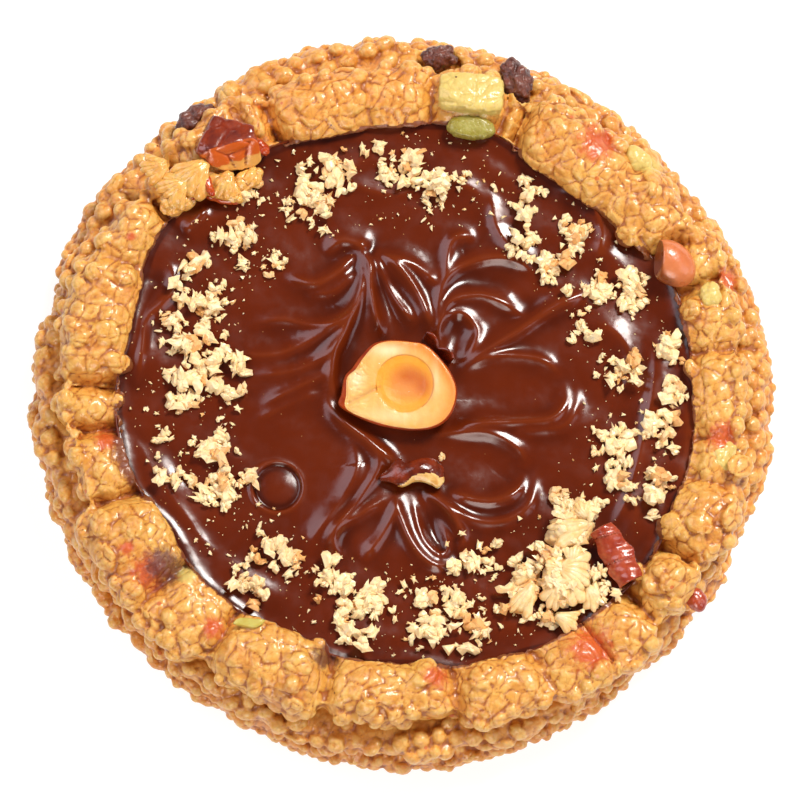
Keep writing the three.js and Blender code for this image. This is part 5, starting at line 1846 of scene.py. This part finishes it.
        dx, dy, dlong, dshort = self.dish
        dish = np.hypot((points[:, 0] - dx) / dlong, (points[:, 1] - dy) / dshort)
        masks = {
            "warm": upper * bell(inside, 1.05)
            * np.clip(0.3 + 0.75 * np.cos(turn - 0.6), 0.12, 1),
            # Painted highlights on the cut face.
            "white": upper * (patch(-1.4, 4.2, 1.9, 0.7) + patch(-5.2, 0.8, 0.8, 1.0) + 0.5
                              * patch(-1.0, -3.6, 3.4, 0.8)
                              + 0.5 * patch(4.2, 0.6, 0.5, 2.0)),
            "amber": upper * np.clip((1.02 - reach) / 0.05, 0, 1),
            "peach": upper * np.clip((1.05 - dish) / 0.45, 0, 1),
            # Painted shade in the dish, to the right of and above its middle.
            "deep": upper * np.exp(-((points[:, 0] - 2.8) ** 2 / 1.0 + (points[:, 1] + 0.1) ** 2 / 2.0))
            + upper * np.exp(-((points[:, 0] - 1.0) ** 2 / 2.2 + (points[:, 1] - 1.1) ** 2 / 1.2)),
            "line": upper * (0.8 * np.exp(-(((reach - 0.99) / 0.02) ** 2))
                             * (0.1 + 0.8 * (points[:, 1] > -points[:, 0]))
                             + 0.5 * bell(self.near_groove(points), 0.16)),
        }
        store(piece, **{name: np.clip(mask, 0, 1) for name, mask in masks.items()})
        for finish in (KERNEL, RIND):
            piece.data.materials.append(finish.material())
        ring = np.array([min(polygon.vertices) // self.sides for polygon in piece.data.polygons])
        piece.data.polygons.foreach_set("material_index", (ring < self.skin_rings).astype(np.int32))
        return settle(piece, "hazelnut", "hazelnut_half")


@dataclass
class SkinCurl:
    """A curl of nut skin, dark and glossy, with the cream of the kernel along its near edge."""

    at: Triple = (0.0, 0.0, 11.3)
    thickness: float = 0.6
    far: Rows = (
        (-2.5, -10.1), (-1.5, -9.3), (-0.3, -7.8), (0.6, -8.4), (2.4, -7.9), (3.8, -7.9), (4.6, -8.5),
        (5.1, -9.3),
    )
    near: Rows = (
        (-2.5, -10.3), (-1.2, -10.7), (0.1, -11.3), (1.5, -10.7), (2.6, -10.7), (3.7, -11.1), (4.4, -11.4),
        (5.1, -10.5),
    )

    def place(self, u: Array, v: Array) -> Array:
        """Middle surface of the curl: an arch whose left end runs out to a tip."""
        far, near = (catmull_rom(edge, 6) for edge in (self.far, self.near))
        x = -2.5 + 7.6 * u
        upper, lower = np.interp(x, *far.T), np.interp(x, *near.T)
        arch = 1.5 * np.sin(math.pi * (0.06 + 0.8 * u)) * np.sin(math.pi * (0.16 + 0.72 * v)) ** 0.8
        return np.stack([x, lower + (upper - lower) * v, arch + 0.08 * np.sin(9 * u + 3 * v)], axis=-1)

    def dress(self) -> Piece:
        """Makes the curl."""
        across, along = 60, 24
        points, faces = sheet_points(self.place, across, along, self.thickness)
        piece = new_mesh_object("skin_curl_real", points + self.at, faces)
        for finish in (SKIN, CURL_CREAM):
            piece.data.materials.append(finish.material())
        layer = (across + 1) * (along + 1)
        share = (np.arange(len(points)) % layer) // (across + 1) / along
        under = np.arange(len(points)) >= layer
        corners = [list(polygon.vertices) for polygon in piece.data.polygons]
        band = np.interp(points[:, 0], (-0.6, 0.6, 1.2, 2.6, 4.0, 5.1), (0.0, 0.16, 0.28, 0.34, 0.42, 0.36))
        cream = np.array([share[corner].mean() < band[corner].mean() + 0.2 * under[corner].any()
                          for corner in corners])
        piece.data.polygons.foreach_set("material_index", cream.astype(np.int32))
        return settle(piece, "nut_skin", "skin_curl")


@dataclass
class SkinFlap:
    """A leaf of nut skin that stands up behind the nut."""

    at: Triple = (4.2, 5.25, 10.9)
    thickness: float = 0.4

    @staticmethod
    def place(u: Array, v: Array) -> Array:
        """Middle surface of the flap, with a wavy top."""
        wave = np.abs(np.sin(5.2 * u + 0.5))
        lean = v * (0.15 + 0.55 * wave)
        x, y = 3.2 * (u - 0.5), -3.2 * (u - 0.5)
        return np.stack([x + lean, y + 0.9 * lean, 2.4 * v * (0.75 + 0.25 * wave)], axis=-1)

    def dress(self) -> Piece:
        """Makes the flap."""
        points, faces = sheet_points(self.place, 40, 24, self.thickness)
        piece = new_mesh_object("skin_flap_real", points + self.at, faces)
        return settle(piece, "nut_skin", "skin_flap", finish=SKIN)


@dataclass
class CranberryFlake:
    """A torn flap of dried cranberry, rolled lengthwise, with cross ridges and two scales."""

    at: Triple = (25.6, -19.5, 12.3)
    turn: Triple = (0, -14, 28)

    @staticmethod
    def place(u: Array, v: Array) -> Array:
        """Middle surface of the flap."""
        along = 7.4 * (v - 0.5)
        aside = (3.9 - 2.2 * np.abs(v - 0.45)) * (u - 0.5) + 0.12 * np.sin(17 * v)
        scale = 0.28 * (((2.2 * v + 0.25 * u) % 1.0) ** 3)
        ridges = 0.09 * np.abs(np.sin(9 * v + 2.5 * u + np.sin(7 * v))) + 0.03 * np.sin(41 * v + 9 * u)
        fold = 0.95 * np.cos(math.pi * (u - 0.5)) + 0.2 * np.sin(9 * v)
        return np.stack([aside, along, fold + ridges - scale + 0.03 * along**2], axis=-1)

    def dress(self) -> Piece:
        """Makes the flap."""
        points, faces = sheet_points(self.place, 44, 90, 0.6)
        piece = new_mesh_object("cranberry_flake_real", turned(points, self.at, self.turn), faces)
        return settle(piece, "cranberry", "cranberry_flake", finish=CRANBERRY)


@dataclass
class NutsAndFruit:
    """Every nut and piece of fruit on the chocolate or baked into the rim."""

    nuggets: tuple[Nugget, ...] = (
        Nugget("glazed_nut_chunk", "nut_skin", (-20.5, 30.3, 13.7), (-10, 8, -14), (4.4, 3.6, 2.7), 0.16, 12,
               GLAZE,
               ((-0.3, 0.2, 1, 1.7), (-1, 0.25, 0.2, 3.1), (0.35, -0.8, 0.7, 2.0), (1, 0.5, 0.2, 3.2),
                (0, 1, 0.3, 2.5)),
               wrinkle=0.15, dent=0.3, faces_to=(0.55, -0.95, 0.1)),
        Nugget("glazed_nut_chip", "hazelnut", (-21.4, 24.9, 12.3), (0, 0, -30), (2.7, 1.7, 1.3), 0.3, 21,
               CARAMEL,
               ((0, 0, 1, 0.9), (0.4, -1, 0.2, 1.5)), wrinkle=0.25, ridges=(0.2, 70), dent=0.35,
               faces_to=(-0.9, 0.1, -0.2)),
        Nugget("almond_piece", "almond", (32.2, 15.6, 12.8), (0, 12, -38), (3.3, 2.5, 2.1), 0.04, 8, ALMOND,
               ((-0.8, -0.5, 0.1, 1.6),), faces_to=(-0.9, -0.5, 0)),
        Nugget("pale_pistachio", "pale_green", (8.4, 36.2, 12.7), (-6, 0, -6), (4.9, 3.2, 2.2), 0.10, 14,
               DOUGH,
               ((0.1, 0.2, 1, 1.6), (1, 0, 0, 3.9), (-1, 0, 0, 3.9), (0, 1, 0, 2.4), (0, -1, 0, 2.4))),
        Nugget("green_pistachio", "green", (8.4, 32.2, 12.3), (0, 0, -4), (2.9, 1.45, 1.3), 0.08, 17,
               PISTACHIO,
               ((0, 0, 1, 0.9),), ridges=(0.12, 90)),
        Nugget("raisin_north", "raisin", (13.8, 38.2, 10.7), (0, 0, 28), (1.7, 2.6, 1.6), 0.4, 31, RAISIN,
               wrinkle=0.75),
        Nugget("raisin_top", "raisin", (4.6, 41.4, 9.1), (0, 0, 12), (1.9, 1.4, 1.4), 0.4, 33, RAISIN,
               wrinkle=0.7),
        Nugget("raisin_northwest", "raisin", (-24.8, 33.7, 9.7), (0, 0, 34), (2.5, 1.5, 1.5), 0.4, 35, RAISIN,
               wrinkle=0.7),
        Nugget("glaze_drop", "nut_skin", (-16.9, 29.9, 12.4), (0, 0, -40), (1.3, 0.75, 0.8), 0.3, 24, DRIP,
               wrinkle=0.2,
               extra=True),
        Nugget("glaze_smear", "nut_skin", (-25.4, 24.4, 12.9), (0, 0, -50), (1.5, 0.5, 0.5), 0.3, 26, DRIP,
               wrinkle=0.2,
               extra=True),
        Nugget("nut_chip", "hazelnut", (-18.4, 25.9, 12.2), (0, 0, 30), (2.0, 1.1, 1.0), 0.25, 28, CARAMEL,
               wrinkle=0.2, dent=0.3, extra=True),
        Nugget("glaze_line", "nut_skin", (-23.1, 25.3, 14.0), (0, 0, -72), (2.0, 0.5, 0.5), 0.3, 36, DRIP,
               wrinkle=0.2,
               extra=True),
        Nugget("glaze_run", "nut_skin", (-21.6, 23.6, 12.1), (0, 0, -14), (2.0, 0.5, 0.5), 0.3, 38, DRIP,
               wrinkle=0.2,
               extra=True),
        Nugget("cranberry_bit", "cranberry", (35.0, -24.6, 10.6), (0, 0, 20), (1.2, 1.5, 1.1), 0.2, 41,
               CRANBERRY),
        Nugget("pistachio_east", "pale_green", (39.0, -7.8, 12.1), (0, 24, 0), (1.9, 1.9, 1.0), 0.3, 61,
               DOUGH,
               ((0, 0, 1, 0.7),)),
        Nugget("pistachio_mideast", "pale_green", (36.9, 11.7, 12.7), (0, 0, 0), (1.35, 1.6, 1.0), 0.35, 64,
               DOUGH),
        Nugget("pistachio_northeast", "pale_green", (28.4, 28.4, 11.6), (0, 0, -45), (2.0, 1.4, 0.9), 0.3, 67,
               DOUGH),
        Nugget("pistachio_sliver", "pale_green", (-18.0, -27.8, 13.9), (0, 0, 12), (1.9, 0.95, 0.6), 0.1, 69,
               LEAF,
               ((-0.1, 0.15, 1, 0.2), (0.3, 1, 0.2, 0.5), (-0.5, -1, 0.3, 0.55))),
    )
    walnuts: tuple[WalnutPiece, ...] = (
        WalnutPiece(
            Nugget("nut_lobe", "hazelnut", (-26.6, 23.6, 12.3), (0, 0, 40), (2.5, 1.7, 1.3), 0.25, 27,
                   CARAMEL,
                   wrinkle=0.2, dent=0.3, extra=True),
            (Fan((-22.9, 28.0, 13.5), (0, 6, 228), 4.4, 84, 0.1),
             Fan((-25.2, 25.8, 13.2), (0, 6, 212), 3.6, 96, 0.1),
             Fan((-20.2, 27.0, 12.8), (0, 8, 246), 3.4, 70, 0.1),
             Fan((-27.6, 27.6, 13.4), (0, 4, 200), 3.0, 90, 0.1)),
        ),
        WalnutPiece(
            Nugget("walnut_upper", "walnut", (20.0, -16.7, 11.8), (0, 0, 14), (2.7, 1.6, 1.3), 0.4, 51,
                   WALNUT,
                   ((0, 0, -1, 1.0),), wrinkle=0.3),
            (Fan((22.7, -15.9, 12.7), (6, 4, 197), 4.4, 58), Fan((19.2, -18.6, 12.6), (0, 0, 38), 2.8, 60),
             Fan((22.0, -15.5, 12.4), (0, 10, 120), 2.2, 80)),
        ),
        WalnutPiece(
            Nugget("walnut_lower", "walnut", (19.4, -21.9, 11.9), (0, 0, 52), (3.0, 2.2, 1.5), 0.4, 56,
                   WALNUT,
                   ((0, 0, -1, 1.1),), wrinkle=0.3),
            (Fan((18.6, -21.2, 13.0), (0, 8, -12), 3.4, 120),
             Fan((18.9, -22.0, 12.5), (8, 10, -86), 3.5, 105),
             Fan((20.1, -20.9, 13.1), (0, 0, 75), 2.0, 90),
             Fan((18.9, -21.3, 13.0), (0, -10, 160), 1.7, 120)),
        ),
        WalnutPiece(
            Nugget("walnut_scraps", "walnut", (14.9, -24.0, 11.6), (0, 0, 70), (2.0, 1.2, 0.9), 0.4, 58,
                   WALNUT,
                   wrinkle=0.3, extra=True),
            (Fan((15.9, -22.6, 12.0), (0, 6, 240), 3.9, 48), Fan((16.2, -21.9, 11.9), (0, 4, 182), 2.5, 60),
             Fan((18.0, -26.6, 11.9), (0, 8, -24), 2.7, 66), Fan((21.9, -23.0, 12.0), (0, 8, -66), 2.8, 60),
             Fan((23.6, -24.6, 12.1), (0, 0, 150), 1.8, 90)),
        ),
    )
    others: tuple = field(default_factory=lambda: (HazelnutHalf(), SkinCurl(), SkinFlap(), CranberryFlake()))

    def dress(self, crust: Crust) -> list[Piece]:
        """Makes them all; the pale pistachios are crackled like the crust they sit in."""
        pieces = [piece.dress() for piece in (*self.others, *self.walnuts)]
        return pieces + [crust.crusted(nut) if nut.finish is DOUGH else nut.dress() for nut in self.nuggets]


# ---------- studio


@dataclass
class Studio:
    """A pale floor, soft light and the camera, almost straight above the cookie.

    Attributes:
        elevation: Angle of the camera above the floor, in degrees.
        distance: Distance of the camera, in metres.
        width: Width of the view at the cookie, in metres.
        aim: What the camera looks at, in metres.
    """

    elevation: float = 80.0
    distance: float = 0.9
    width: float = 0.0958
    aim: Triple = (-0.00015, -0.00027, 0.006)

    def floor(self) -> None:
        """Lays the pale floor."""
        size = 3.0
        mesh = bpy.data.meshes.new("floor")
        corners = [(-size, -size, 0), (size, -size, 0), (size, size, 0), (-size, size, 0)]
        mesh.from_pydata([(x, y, -0.0001) for x, y, _ in corners], [], [(0, 1, 2, 3)])
        floor = bpy.data.objects.new("floor", mesh)
        bpy.context.scene.collection.objects.link(floor)
        material = bpy.data.materials.new("floor_white")
        material.use_nodes = True
        shader = material.node_tree.nodes["Principled BSDF"]
        shader.inputs["Base Color"].default_value = (0.25, 0.25, 0.25, 1)
        shader.inputs["Roughness"].default_value = 0.9
        shader.inputs["Specular IOR Level"].default_value = 0.0
        shader.inputs["Emission Color"].default_value = (1, 0.99, 0.97, 1)
        shader.inputs["Emission Strength"].default_value = 0.88
        mesh.materials.append(material)

    def lamp(self, name: str, place: Sequence[float], size: float, power: float, colour: Colour) -> None:
        """Adds one square soft light aimed at the cookie."""
        light = bpy.data.lights.new(name, "AREA")
        light.shape, light.size, light.energy, light.color = "SQUARE", size, power, colour
        lamp = bpy.data.objects.new(name, light)
        lamp.location = place
        lamp.rotation_euler = (Vector((0, 0, 0.01)) - Vector(place)).to_track_quat("-Z", "Y").to_euler()
        bpy.context.scene.collection.objects.link(lamp)

    def lights(self) -> None:
        """Key light from the upper right, softer lights round the sides and a dim room."""
        self.lamp("key", (0.40, 0.50, 0.80), 0.30, 11.6, (1.0, 0.97, 0.92))
        self.lamp("left", (-0.70, 0.25, 0.70), 0.75, 5.0, (0.90, 0.88, 1.0))
        self.lamp("right", (0.85, -0.30, 0.55), 0.60, 2.6, (0.93, 0.90, 1.0))
        self.lamp("front", (-0.10, -0.90, 0.50), 0.50, 5.0, (1.0, 0.95, 0.88))
        world = bpy.data.worlds.new("room")
        world.use_nodes = True
        world.node_tree.nodes["Background"].inputs["Color"].default_value = (0.98, 0.97, 1.0, 1)
        world.node_tree.nodes["Background"].inputs["Strength"].default_value = 0.08
        bpy.context.scene.world = world

    def camera(self) -> None:
        """Sets the camera at the photograph's angle."""
        lift = math.radians(self.elevation)
        target = Vector(self.aim)
        place = target + self.distance * Vector((0, -math.cos(lift), math.sin(lift)))
        data = bpy.data.cameras.new("camera")
        data.sensor_width = 36.0
        data.lens = data.sensor_width * self.distance / self.width
        data.clip_start, data.clip_end = 0.01, 10.0
        camera = bpy.data.objects.new("camera", data)
        camera.location = place
        camera.rotation_euler = (target - place).to_track_quat("-Z", "Y").to_euler()
        bpy.context.scene.collection.objects.link(camera)
        bpy.context.scene.camera = camera

    def dress(self) -> None:
        """Sets up the whole studio and plain colour handling."""
        self.floor()
        self.lights()
        self.camera()
        bpy.context.scene.view_settings.view_transform = "Standard"
        bpy.context.scene.view_settings.look = "None"


def main() -> None:
    """Builds the cookie and its studio."""
    logging.basicConfig(level=logging.INFO, format="%(name)s %(message)s")
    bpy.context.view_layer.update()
    rim = Rim()
    pool = Pool(rim)
    crust = Crust(rim)
    crust.dress()
    pool.dress()
    ChoppedNuts(pool).dress()
    NutsAndFruit().dress(crust)
    Studio().dress()


if __name__ == "__main__":
    main()
